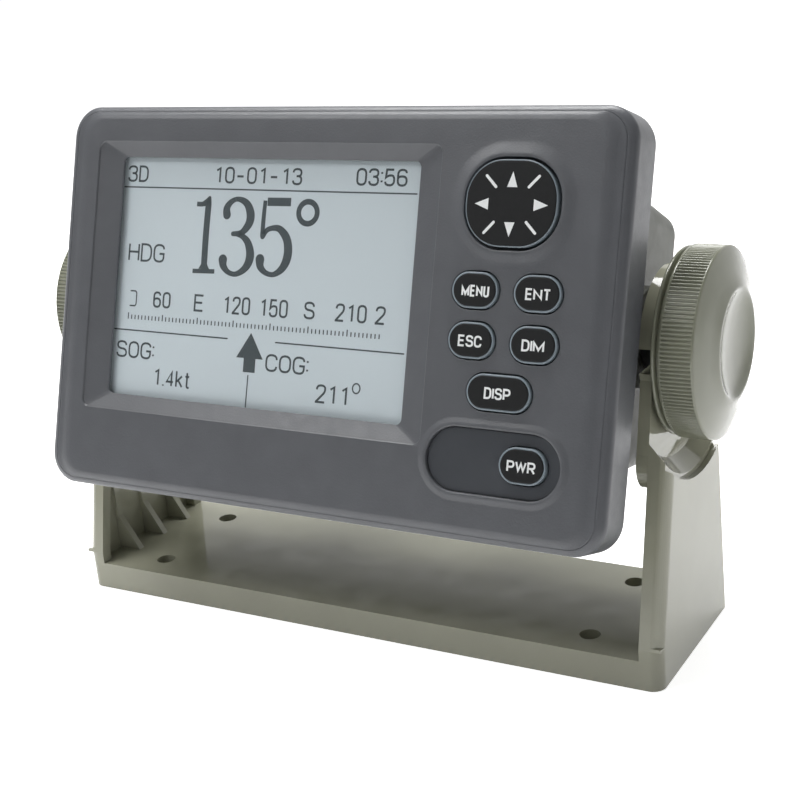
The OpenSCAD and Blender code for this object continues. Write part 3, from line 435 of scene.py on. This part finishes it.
# Width of each letter, and its strokes in a unit box as corners (x, z), or as rounded corners
# (x, z, radius as a share of the width)
MID_LEFT = (0, 0.5)
LEFT_UP, LEFT_DOWN, RIGHT_UP, RIGHT_DOWN = (0, 1, 0.5), (0, 0, 0.5), (1, 1, 0.5), (1, 0, 0.5)
RING = [MID_LEFT, LEFT_DOWN, RIGHT_DOWN, RIGHT_UP, LEFT_UP, MID_LEFT]
GLYPHS = {
    "0": (1, [RING]),
    "1": (1, [[(0.66, 0), (0.66, 1), (0.22, 0.8)]]),
    "2": (1, [[(0.02, 0.74), (0.02, 1, 0.5), RIGHT_UP, (1, 0.62, 0.3), (0, 0.02), (0, 0), (1, 0)]]),
    "3": (1, [[(0, 0.77), LEFT_UP, (0.97, 1, 0.5), (0.97, 0.53, 0.4), (0.4, 0.53)],
              [(0.4, 0.53), (1, 0.53, 0.4), RIGHT_DOWN, LEFT_DOWN, (0, 0.24)]]),
    "4": (1, [[(0.75, 0), (0.75, 1), (0, 0.27), (1, 0.27)]]),
    "5": (1, [[(0.93, 1), (0.12, 1), (0.05, 0.5), (0.3, 0.63, 0.3), (1, 0.63, 0.45), RIGHT_DOWN,
               LEFT_DOWN, (0, 0.23)]]),
    "6": (1, [[(0.95, 0.79), (0.95, 1, 0.5), LEFT_UP, LEFT_DOWN, RIGHT_DOWN, (1, 0.58, 0.5),
               (0.02, 0.58, 0.45), (0.02, 0.4)]]),
    "C": (1, [[(1, 0.71), RIGHT_UP, LEFT_UP, LEFT_DOWN, RIGHT_DOWN, (1, 0.29)]]),
    "D": (1, [[MID_LEFT, (0, 1), (1, 1, 0.6), (1, 0, 0.6), (0, 0), MID_LEFT]]),
    "E": (0.9, [[(1, 1), (0, 1), (0, 0), (1, 0)], [(0, 0.52), (0.9, 0.52)]]),
    "G": (1, [[(1, 0.75), RIGHT_UP, LEFT_UP, LEFT_DOWN, (1, 0, 0.4), (1, 0.47), (0.55, 0.47)]]),
    "H": (1, [[(0, 0), (0, 1)], [(1, 0), (1, 1)], [(0, 0.52), (1, 0.52)]]),
    "I": (0, [[(0, 0), (0, 1)]]),
    "M": (1.5, [[(0, 0), (0, 1), (0.5, 0.12), (1, 1), (1, 0)]]),
    "N": (1.15, [[(0, 0), (0, 1), (1, 0), (1, 1)]]),
    "O": (1, [RING]),
    "P": (1, [[(0, 0), (0, 1), (1, 1, 0.5), (1, 0.44, 0.5), (0, 0.44)]]),
    "R": (1.05, [[(0, 0), (0, 1), (1, 1, 0.5), (1, 0.46, 0.5), (0, 0.46)], [(0.5, 0.46), (1, 0)]]),
    "S": (1, [[(0.96, 0.75), (0.96, 1, 0.5), (0.03, 1, 0.5), (0.03, 0.56, 0.4), (1, 0.48, 0.4),
               RIGHT_DOWN, LEFT_DOWN, (0, 0.25)]]),
    "T": (1, [[(0, 1), (1, 1)], [(0.5, 1), (0.5, 0)]]),
    "U": (1, [[(0, 1), LEFT_DOWN, RIGHT_DOWN, (1, 1)]]),
    "W": (1.6, [[(0, 1), (0.24, 0), (0.5, 0.94), (0.76, 0), (1, 1)]]),
    "k": (0.85, [[(0, 0), (0, 1)], [(0.95, 0.7), (0.02, 0.3)], [(0.35, 0.42), (1, 0)]]),
    "t": (0.6, [[(0.42, 0.95), (0.42, 0, 0.35), (1, 0)], [(0, 0.7), (0.95, 0.7)]]),
    "-": (1, [[(0.05, 0.43), (0.85, 0.43)]]),
    ".": (0, [[(0, -0.03), (0, 0.06)]]),
    ":": (0, [[(0, 0.18), (0, 0.3)], [(0, 0.72), (0, 0.84)]]),
}


# Points nearer than this, in millimetres, count as one
SAME_POINT = 1e-4
# Least squared length of the joint's direction, which keeps a sharp joint from growing long
MITRE_LIMIT = 0.12


def eased(corners, width, steps=7):
    """A path of corners (x, z, share of the width) with each corner turned into a curve."""
    path = []
    for i, (x, z, share) in enumerate(corners):
        here = Vector((x, z))
        if not share or i in (0, len(corners) - 1):
            path.append(here)
            continue
        ends = []
        for k in (i - 1, i + 1):
            side = Vector(corners[k][:2]) - here
            reach = side.length * (0.5 if corners[k][2] else 1)
            ends.append(here + side.normalized() * min(share * width, reach))
        start, end = ends
        for j in range(steps + 1):
            t = j / steps
            path.append(start * (1 - t) ** 2 + here * 2 * t * (1 - t) + end * t ** 2)
    return [
        point for i, point in enumerate(path) if i == 0 or (point - path[i - 1]).length > SAME_POINT
    ]


def pen_stroke(bm, path, pen, box, depth):
    """A flat band of even width along a path, mitred at its joints and kept in the letter's box."""
    left, right, bottom, top = box
    sides = []
    for i, point in enumerate(path):
        near = path[max(0, i - 1):i + 2]
        runs = [(b - a).normalized() for a, b in zip(near, near[1:])]
        normals = [Vector((-run.y, run.x)) for run in runs]
        total = sum(normals, Vector((0, 0)))
        mitre = total / max(MITRE_LIMIT, total.length_squared) * len(normals) * pen / 2
        sides.append([
            (min(max(v.x, left), right), min(max(v.y, bottom), top))
            for v in (point + mitre, point - mitre)
        ])
    ribbon(bm, [a for a, _ in sides], [b for _, b in sides], depth)


def words(bm, text, x0, x1, z0, z1, depth, pen, gap):
    """Plain upright lettering that fills a box on a plane parallel to the face."""
    first, last = text[0], text[-1]
    first_x = min(corner[0] for path in GLYPHS[first][1] for corner in path)
    last_x = max(corner[0] for path in GLYPHS[last][1] for corner in path)
    spare = first_x * GLYPHS[first][0] + (1 - last_x) * GLYPHS[last][0]
    shares = sum(GLYPHS[c][0] for c in text) - spare
    unit = (x1 - x0 - gap * (len(text) - 1) - pen * len(text)) / max(shares, 0.01)
    left = x0 - first_x * GLYPHS[first][0] * unit
    for c in text:
        share, paths = GLYPHS[c]
        width = share * unit
        box = (left, left + width + pen, z0, z1)
        for corners in paths:
            placed = [
                (left + pen / 2 + x * width, z0 + pen / 2 + z * (z1 - z0 - pen), *(rest or (0,)))
                for x, z, *rest in corners
            ]
            pen_stroke(bm, eased(placed, width), pen, box, depth)
        left += width + pen + gap


for key_name, (_, (_, key_z), key_text, (text_left, text_right)) in KEYS.items():
    key_body = key_name + "_body"
    rubber_key(key_name, key_shape(key_name), KEY_SKIRT, KEY_CAP, key_body)
    label = bmesh.new()
    words(label, key_text, text_left, text_right, key_z - LABEL_H / 2 - LABEL_DROP,
          key_z + LABEL_H / 2 - LABEL_DROP, KEY_CAP[-1][1] - LABEL_T, LABEL_PEN, LABEL_GAP)
    piece(key_name + "_label", label, LABEL, key_body)

rubber_key("cursor_pad", PAD_SHAPE, PAD_SKIRT, PAD_CAP, "cursor_pad_body")
# Corners of the four arrowheads, and ends of the four ticks between them
PAD_MARKS = [
    ((54.85, 36.3), (53.5, 32.6), (56.2, 32.6)),
    ((54.95, 20.8), (56.2, 24.3), (53.5, 24.3)),
    ((45.3, 28.5), (48.9, 27.1), (48.9, 29.9)),
    ((64.5, 28.5), (60.8, 29.9), (60.8, 27.1)),
]
PAD_TICKS = [
    ((48.0, 35.2), (50.6, 32.6)),
    ((61.7, 35.3), (59.2, 32.7)),
    ((48.3, 21.6), (50.7, 24.2)),
    ((61.7, 21.9), (59.2, 24.4)),
]
PAD_TICK_W = 0.7


def bar(a, b, width, caps=6):
    """Outline of a straight bar with round ends."""
    heading = math.atan2(b[1] - a[1], b[0] - a[0])
    points = []
    for end, start in ((b, heading - math.pi / 2), (a, heading + math.pi / 2)):
        for i in range(caps + 1):
            turn = start + math.pi * i / caps
            x, z = width / 2 * math.cos(turn), width / 2 * math.sin(turn)
            points.append((end[0] + x, end[1] + z))
    return points


marks = bmesh.new()
for corners in PAD_MARKS:
    plate(marks, corners, PAD_CAP[-1][1])
for tick_a, tick_b in PAD_TICKS:
    plate(marks, bar(tick_a, tick_b, PAD_TICK_W), PAD_CAP[-1][1])
piece("cursor_pad_marks", marks, LABEL, "cursor_pad_body")


# ---- Display ----

PANEL_SHAPE = (98, 70.4, 0.4, (-19, 6.05))
PANEL_FRONT = 3.86
# Growth of the panel's outline and the depth there, round its eased front edge to its back
PANEL_ROWS = [(-0.1, PANEL_FRONT), (0, PANEL_FRONT + 0.1), (0, 6.3)]
INK_DEPTH = 3.84
INK_PEN = 0.58
INK_GAP = 0.48

panel = bmesh.new()
panel_loops = stepped(panel, PANEL_SHAPE, PANEL_ROWS)
fill(panel, [panel_loops[0]])
fill(panel, [panel_loops[-1]])
piece("display_panel", panel, DISPLAY, "head", ["lcd_panel"])

# Text, left, right, bottom and top, as the display lays out its plain readings
READINGS = [
    ("3D", -65.7, -58.6, 32.1, 36.7),
    ("10-01-13", -35.7, -8.0, 32.3, 36.8),
    ("03:56", 8.4, 23.4, 32.6, 37.1),
    ("HDG", -63.7, -51.1, 10.2, 15.3),
    ("60", -53.9, -47.9, -2.2, 2.3),
    ("E", -39.9, -36.6, -2.4, 2.3),
    ("120", -29.9, -21.4, -2.4, 2.4),
    ("150", -18.0, -9.4, -2.4, 2.4),
    ("S", -4.4, -1.0, -2.2, 2.4),
    ("210", 5.2, 14.6, -2.2, 2.5),
    ("2", 17.1, 20.1, -2.2, 2.5),
    ("SOG:", -65.5, -52.3, -16.6, -11.9),
    ("1.4kt", -51.6, -39.3, -23.5, -18.7),
    ("COG:", -15.2, -1.7, -16.7, -12.0),
    ("211", 1.1, 10.6, -23.5, -18.6),
]
# Ends and width of the thin lines; the last five are the part of a letter at the dial's left end
LINES = [
    ((-66.9, 30.7), (26.4, 30.9), 0.38),
    ((-67.0, -8.85), (-28.0, -8.95), 0.38),
    ((-12.5, -8.9), (26.2, -9.0), 0.38),
    ((-20.45, -18.2), (-20.55, -27.0), 0.38),
    ((-61.9, 2.0), (-60.2, 2.0), 0.4),
    ((-60.2, 2.0), (-59.8, 1.5), 0.4),
    ((-59.8, 1.5), (-59.8, -1.6), 0.4),
    ((-59.8, -1.6), (-60.2, -2.1), 0.4),
    ((-60.2, -2.1), (-61.9, -2.1), 0.4),
]
ARROW = [
    (-20.4, -6.9), (-16.1, -13.7), (-18.4, -13.7), (-18.4, -17.4), (-22.2, -17.4), (-22.2, -13.7),
    (-24.7, -13.7),
]
# The dial's ticks stand on one line, three degrees apart, with a tall one each thirty degrees
TICK_STEP = 1.19
TICK_ZERO = -50.3
TICK_FOOT = -5.8
TICK_LOW = 1.2
TICK_TALL = 1.75
TICK_W = 0.36
FIRST_TICK = -10
LAST_TICK = 58
TALL_EVERY = 10
# Strokes of the large figures, as x, z and width along each
FIGURES = [
    [(-37.2, 28.3, 1.1), (-37.4, 26.7, 1.9), (-37.5, 24.4, 2.0), (-37.6, 17.7, 2.0),
     (-37.5, 10.2, 2.0)],
    [(-41.3, 26.6, 1.3), (-39.5, 26.6, 1.3), (-38.3, 27.1, 1.6), (-37.2, 28.2, 1.2)],
    [(-41.2, 8.5, 1.2), (-33.9, 8.7, 1.2)],
    [(-37.5, 10.6, 1.9), (-37.5, 9.2, 3.6)],
    [(-31.1, 24.0, 2.5), (-31.3, 25.6, 2.2), (-30.3, 27.2, 1.7), (-28.4, 28.2, 1.3),
     (-26.2, 27.9, 1.7), (-24.5, 26.7, 2.2), (-23.5, 24.6, 2.6), (-23.5, 22.5, 2.5),
     (-24.6, 20.6, 2.1), (-26.2, 19.3, 1.6), (-28.7, 19.0, 1.3)],
    [(-27.3, 19.0, 1.4), (-25.5, 18.4, 1.6), (-23.8, 17.0, 2.1), (-22.8, 14.7, 2.5),
     (-22.7, 12.7, 2.6), (-23.4, 10.8, 2.3), (-25.0, 9.2, 1.8), (-27.2, 8.3, 1.4),
     (-29.5, 8.8, 1.5), (-31.1, 10.4, 2.2), (-31.4, 12.0, 2.8)],
    [(-18.3, 27.8, 2.2), (-10.9, 27.9, 2.2)],
    [(-19.0, 28.1, 1.2), (-19.2, 23.4, 1.3), (-19.2, 18.6, 1.4)],
    [(-19.1, 18.6, 1.4), (-18.0, 20.2, 1.4), (-16.4, 20.9, 1.4), (-14.2, 20.9, 1.8),
     (-12.3, 19.5, 2.3), (-11.1, 17.5, 2.5), (-10.7, 14.7, 2.6), (-11.2, 12.2, 2.5),
     (-12.6, 10.1, 2.0), (-14.9, 8.8, 1.4), (-17.4, 9.2, 1.5), (-19.1, 10.7, 2.2),
     (-19.4, 12.6, 2.8)],
]
# A stroke with more stations than this has round ends, which lie a little in front of it
ROUND_ENDED = 4
DOT_LIFT = 0.002
DOT_STEPS = 20
# Middle, radii and width of the degree rings
DEGREES = [((-5.45, 25.3), (2.85, 2.85), 1.5), ((13.2, -18.8), (1.1, 1.25), 0.4)]
RING_STEPS = 40


def smooth_stroke(stations, steps=5):
    """Stations (x, z, width) with more between them, on a smooth path through all."""
    if len(stations) < 3:
        return stations
    out = []
    padded = [stations[0], *stations, stations[-1]]
    for p0, p1, p2, p3 in zip(padded, padded[1:], padded[2:], padded[3:]):
        for i in range(steps):
            t = i / steps
            out.append(tuple(
                0.5 * (2 * b + (c - a) * t
                       + (2 * a - 5 * b + 4 * c - d) * t**2
                       + (3 * b - a - 3 * c + d) * t**3)
                for a, b, c, d in zip(p0, p1, p2, p3)
            ))
    return out + [stations[-1]]


def stroke(stations):
    """The two sides of a brush stroke that widens and narrows along its stations."""
    stations = smooth_stroke(stations)
    left, right = [], []
    for i, (x, z, width) in enumerate(stations):
        x0, z0, _ = stations[max(0, i - 1)]
        x1, z1, _ = stations[min(len(stations) - 1, i + 1)]
        run = math.hypot(x1 - x0, z1 - z0)
        side = (-(z1 - z0) / run * width / 2, (x1 - x0) / run * width / 2)
        left.append((x + side[0], z + side[1]))
        right.append((x - side[0], z - side[1]))
    return left, right


def oval(x, z, rx, rz, steps):
    """Points round an oval, with the first one again at the end."""
    turns = [2 * math.pi * i / steps for i in range(steps + 1)]
    return [(x + rx * math.cos(a), z + rz * math.sin(a)) for a in turns]


ink = bmesh.new()
for text, left_x, right_x, low_z, high_z in READINGS:
    words(ink, text, left_x, right_x, low_z, high_z, INK_DEPTH, INK_PEN, INK_GAP)
for line_a, line_b, line_w in LINES:
    ink.faces.new(loop(ink, bar(line_a, line_b, line_w, caps=2), INK_DEPTH))
fill(ink, [loop(ink, ARROW, INK_DEPTH)])
for index in range(FIRST_TICK, LAST_TICK + 1):
    tick_x = TICK_ZERO + index * TICK_STEP
    tick_top = TICK_FOOT + (TICK_TALL if index % TALL_EVERY == 0 else TICK_LOW)
    left_x, right_x = tick_x - TICK_W / 2, tick_x + TICK_W / 2
    corners = [(left_x, TICK_FOOT), (right_x, TICK_FOOT), (right_x, tick_top), (left_x, tick_top)]
    ink.faces.new(loop(ink, corners, INK_DEPTH))
for stations in FIGURES:
    ribbon(ink, *stroke(stations), INK_DEPTH)
    if len(stations) > ROUND_ENDED:
        for x, z, width in (stations[0], stations[-1]):
            dot = oval(x, z, width / 2, width / 2, DOT_STEPS)[:-1]
            ink.faces.new(loop(ink, dot, INK_DEPTH - DOT_LIFT))
for (x, z), (rx, rz), width in DEGREES:
    outer, inner = (
        oval(x, z, rx + grow, rz + grow, RING_STEPS) for grow in (width / 2, -width / 2)
    )
    ribbon(ink, outer, inner, INK_DEPTH)
piece("display_readings", ink, INK, "head")


# ---- Rear cover ----

# Half width, half height, corner radius and depth, from the skirt along the drafted box to the rear
COVER_OUTSIDE = [
    (81.2, 49.4, 5.3, 11.0),
    (81.2, 49.4, 5.3, 13.2),
    (81.0, 49.2, 5.1, 13.4),
    (79.1, 43.1, 6.5, 13.4),
    (78.6, 42.6, 6.1, 13.6),
    (78.5, 42.5, 6.0, 14.1),
    (75.4, 38.9, 6.2, 23.2),
    (75.0, 38.45, 6.3, 24.2),
    (74.0, 33.65, 6.3, 60.0),
]
REAR_ROUND = 3.4
REAR_STEPS = 8
# How much the corner radius shrinks for what the outline draws in on the rear round
REAR_CORNER_SHARE = 0.6
REAR_FACE = 63.5
# The same, from the rear wall's inside forward
COVER_INSIDE = [
    (71.2, 31.2, 3.9, 61.0),
    (72.5, 36.0, 3.9, 24.0),
    (76.0, 40.0, 3.6, 13.8),
    (76.0, 40.0, 3.6, 11.0),
]
BOSS_R = 13
BOSS_X = 78.5
BOSS_ROOT = 71.5
BOSS_HOLE_R = 5
# Distance from the middle and radius, from the hole's inner end round the boss to its outer end
BOSS_PROFILE = [
    (BOSS_ROOT, BOSS_HOLE_R), (BOSS_ROOT, BOSS_R), (BOSS_X - 0.8, BOSS_R),
    (BOSS_X - 0.25, BOSS_R - 0.25), (BOSS_X, BOSS_R - 0.8), (BOSS_X, BOSS_HOLE_R),
]
COVER_CREASE = 38


def turned(bm, profile, side, steps=96):
    """Walls turned about the pivot's axis, from (distance out, radius) pairs."""
    rows = []
    for x, r in profile:
        turns = [2 * math.pi * i / steps for i in range(steps)]
        rows.append([bm.verts.new((side * x, r * math.cos(a), r * math.sin(a))) for a in turns])
    skin(bm, rows)
    return rows


def rear_cover():
    bm = bmesh.new()
    rows = [loop(bm, rounded(2 * w, 2 * h, r), d) for w, h, r, d in COVER_OUTSIDE]
    w, h, r, _ = COVER_OUTSIDE[-1]
    for i in range(1, REAR_STEPS + 1):
        turn = math.pi / 2 * i / REAR_STEPS
        inset = REAR_ROUND * (1 - math.cos(turn))
        depth = REAR_FACE - REAR_ROUND + REAR_ROUND * math.sin(turn)
        corner = r - inset * REAR_CORNER_SHARE
        rows.append(loop(bm, rounded(2 * (w - inset), 2 * (h - inset), corner), depth))
    fill(bm, [rows[-1]])
    inside = [loop(bm, rounded(2 * w, 2 * h, r), d) for w, h, r, d in COVER_INSIDE]
    fill(bm, [inside[0]])
    skin(bm, inside + rows)
    for side in (-1, 1):
        boss = turned(bm, BOSS_PROFILE, side)
        skin(bm, [boss[-1], boss[0]])
    piece("cover_shell", bm, COVER, "head", ["rear_cover"], COVER_CREASE)


rear_cover()


# ---- Knobs ----

KNOB_X = 86.8
KNOB_R = 24.1
RIB_DEPTH = 0.38
RIBS = 144
RIB_STEPS = 6
# Above 1, the ribs are wider than the grooves between them
RIB_POWER = 1.5
KNOB_CREASE = 50
# Height above the thrust washer and depth of the grooves, as a share, along the ribbed band
BAND_ROWS = [(2.7, 0.0), (2.7 + 0.12, 1.0), (10.2 - 0.12, 1.0), (10.2, 0.0)]
# Height above the thrust washer and radius, before and after the ribbed band
KNOB_INNER = [
    (0.3, 0), (0, 22.9), (0.12, 23.4), (0.35, 23.6), (0.75, 23.6), (0.95, 23.45), (1.1, 22.6),
    (1.25, 22.2), (1.75, 22.2), (1.9, 22.6), (2.0, 23.5), (2.1, 23.9), (2.3, 24.1), (2.6, 24.1),
]
KNOB_OUTER = [
    (10.3, 24.1), (10.55, 24.05), (10.75, 23.8), (10.9, 23.4), (11.5, 21.9), (12.1, 20.1),
    (12.65, 18.2), (13.15, 16.4), (13.6, 15.2), (13.85, 14.5), (13.98, 14.1), (14.0, 13.8),
    (13.9, 13.4), (13.5, 12.7), (12.8, 11.0), (12.25, 8.6), (11.85, 5.6), (11.65, 2.8), (11.6, 0),
]


def ribbed_knob(side, label):
    bm = bmesh.new()
    turns = [2 * math.pi * i / (RIBS * RIB_STEPS) for i in range(RIBS * RIB_STEPS)]
    profile = [(x, r, 0.0) for x, r in KNOB_INNER]
    profile += [(x, KNOB_R, cut) for x, cut in BAND_ROWS]
    profile += [(x, r, 0.0) for x, r in KNOB_OUTER]
    rows = []
    for x, r, cut in profile:
        if r == 0:
            rows.append([bm.verts.new((side * (KNOB_X + x), 0, 0))])
            continue
        ring = []
        for a in turns:
            groove = cut * RIB_DEPTH * (0.5 - 0.5 * math.cos(a * RIBS)) ** RIB_POWER
            y, z = (r - groove) * math.cos(a), (r - groove) * math.sin(a)
            ring.append(bm.verts.new((side * (KNOB_X + x), y, z)))
        rows.append(ring)
    skin(bm, rows[1:-1])
    for point, ring in ((rows[0][0], rows[1]), (rows[-1][0], rows[-2])):
        for i, _ in enumerate(ring):
            bm.faces.new((point, ring[i], ring[(i + 1) % len(ring)]))
    body, replaced = label + "_knob_body", [label + "_knob"]
    piece(label + "_knob_grip", bm, KNOB, body, replaced, KNOB_CREASE)


ribbed_knob(-1, "left")
ribbed_knob(1, "right")


# ---- Floor, light and camera ----


def combined(tree, operation, a, b):
    node = tree.nodes.new("ShaderNodeMath")
    node.operation = operation
    tree.links.new(a, node.inputs[0])
    tree.links.new(b, node.inputs[1])
    return node.outputs[0]


def seen_straight(tree):
    """1 on rays from the camera or that pass glossy surfaces, 0 on those that light things."""
    path = tree.nodes.new("ShaderNodeLightPath").outputs
    straight = combined(tree, "MAXIMUM", path["Is Camera Ray"], path["Is Glossy Ray"])
    return combined(tree, "MAXIMUM", straight, path["Is Transmission Ray"])


def white_paper(name, colour, glow):
    """A floor that glows where it is seen, keeps its shadows and lights things as paper does."""
    n = Nodes(name)
    n.link(n.blend(n.noise(400), colour, shade(colour, 1.01)), n.shader.inputs["Base Color"])
    n.shader.inputs["Roughness"].default_value = 0.9
    n.shader.inputs["Specular IOR Level"].default_value = 0.0
    n.shader.inputs["Emission Color"].default_value = (1, 1, 1, 1)
    n.link(n.spread(seen_straight(n.tree), 0.0, glow, 0, 1), n.shader.inputs["Emission Strength"])
    return n.material


FLOOR_HALF = 6.0
FLOOR_GLOW = 0.78
FLOOR_Z = -0.0002
floor_bm = bmesh.new()
floor_bm.faces.new([
    floor_bm.verts.new((x * FLOOR_HALF, y * FLOOR_HALF, FLOOR_Z))
    for x, y in ((-1, -1), (1, -1), (1, 1), (-1, 1))
])
floor_mesh = bpy.data.meshes.new("floor")
floor_bm.to_mesh(floor_mesh)
floor_bm.free()
floor_mesh.materials.append(white_paper("floor_paper", srgb(250, 250, 250), FLOOR_GLOW))
floor = bpy.data.objects.new("floor", floor_mesh)
bpy.context.collection.objects.link(floor)

# The sky's strength where it lights things; where it is seen, it is white
SKY_LIGHT = 0.24
# Glossy surfaces see a white backdrop behind and a dark room in front of and above this plane
ROOM_NORMAL = (0, -0.498, 0.867)
ROOM_SHADE = 0.12
ROOM_EDGE = 0.008
scene = bpy.context.scene
world = bpy.data.worlds.new("studio")
scene.world = world
world.use_nodes = True
tree = world.node_tree
tree.nodes.clear()
strength = map_range(tree, seen_straight(tree), SKY_LIGHT, 1.0, 0.0, 1.0)
sight = tree.nodes.new("ShaderNodeVectorMath")
sight.operation = "DOT_PRODUCT"
sight.inputs[1].default_value = ROOM_NORMAL
tree.links.new(tree.nodes.new("ShaderNodeTexCoord").outputs["Generated"], sight.inputs[0])
room = map_range(tree, sight.outputs["Value"], 1.0, ROOM_SHADE, -ROOM_EDGE, ROOM_EDGE)
reflected = tree.nodes.new("ShaderNodeMix")
reflected.inputs[2].default_value = 1.0
glossy_ray = tree.nodes.new("ShaderNodeLightPath").outputs["Is Glossy Ray"]
tree.links.new(glossy_ray, reflected.inputs[0])
tree.links.new(room, reflected.inputs[3])
sky = tree.nodes.new("ShaderNodeBackground")
sky.inputs["Color"].default_value = (1, 1, 1, 1)
tree.links.new(combined(tree, "MULTIPLY", strength, reflected.outputs[0]), sky.inputs["Strength"])
sky_out = tree.nodes.new("ShaderNodeOutputWorld")
tree.links.new(sky.outputs[0], sky_out.inputs["Surface"])


def softbox(name, place, aim, width, height, power):
    """A rectangular lamp at a place, turned to its aim; metres and watts."""
    light = bpy.data.lights.new(name, "AREA")
    light.shape = "RECTANGLE"
    light.size, light.size_y = width, height
    light.energy = power
    obj = bpy.data.objects.new(name, light)
    obj.location = place
    obj.rotation_euler = (Vector(aim) - Vector(place)).to_track_quat("-Z", "Y").to_euler()
    bpy.context.collection.objects.link(obj)


softbox("top_softbox", (-0.2, 0.2, 0.85), (0, 0, 0.09), 0.7, 0.35, 9.4)
softbox("side_softbox", (1.0, 0.1, 0.35), (0, 0, 0.07), 0.6, 0.6, 0.5)
softbox("front_softbox", (-0.42, -0.45, 0.72), (-0.05, 0, 0.08), 0.35, 0.25, 2.3)

# The photo's camera, solved from the object's corners at the size of the fit
FIT_SCALE = 1.0336
LENS_TO_OBJECT = 403.131 * FIT_SCALE
AIM = Vector((8.340 * FIT_SCALE, 0, 58.777 * FIT_SCALE))
AZIMUTH, ELEVATION, ROLL = (math.radians(a) for a in (31.078, 19.030, -5.193))
FOCAL_PX = 1522.177
PHOTO_PX = 800
SENSOR = 36
flat = math.cos(ELEVATION)
looking = Vector((-math.sin(AZIMUTH) * flat, math.cos(AZIMUTH) * flat, -math.sin(ELEVATION)))
level = Vector((math.cos(AZIMUTH), math.sin(AZIMUTH), 0))
upright = level.cross(looking)
across = math.cos(ROLL) * level + math.sin(ROLL) * upright
above = -math.sin(ROLL) * level + math.cos(ROLL) * upright
camera_data = bpy.data.cameras.new("camera")
camera_data.sensor_width = SENSOR
camera_data.lens = FOCAL_PX * SENSOR / PHOTO_PX
camera_data.clip_start = 0.01
camera_data.clip_end = 50
camera = bpy.data.objects.new("camera", camera_data)
facing = Matrix((across, above, -looking)).transposed().to_4x4()
camera.matrix_world = Matrix.Translation((AIM - looking * LENS_TO_OBJECT) * MM) @ facing
bpy.context.collection.objects.link(camera)
scene.camera = camera
scene.view_settings.view_transform = "Standard"
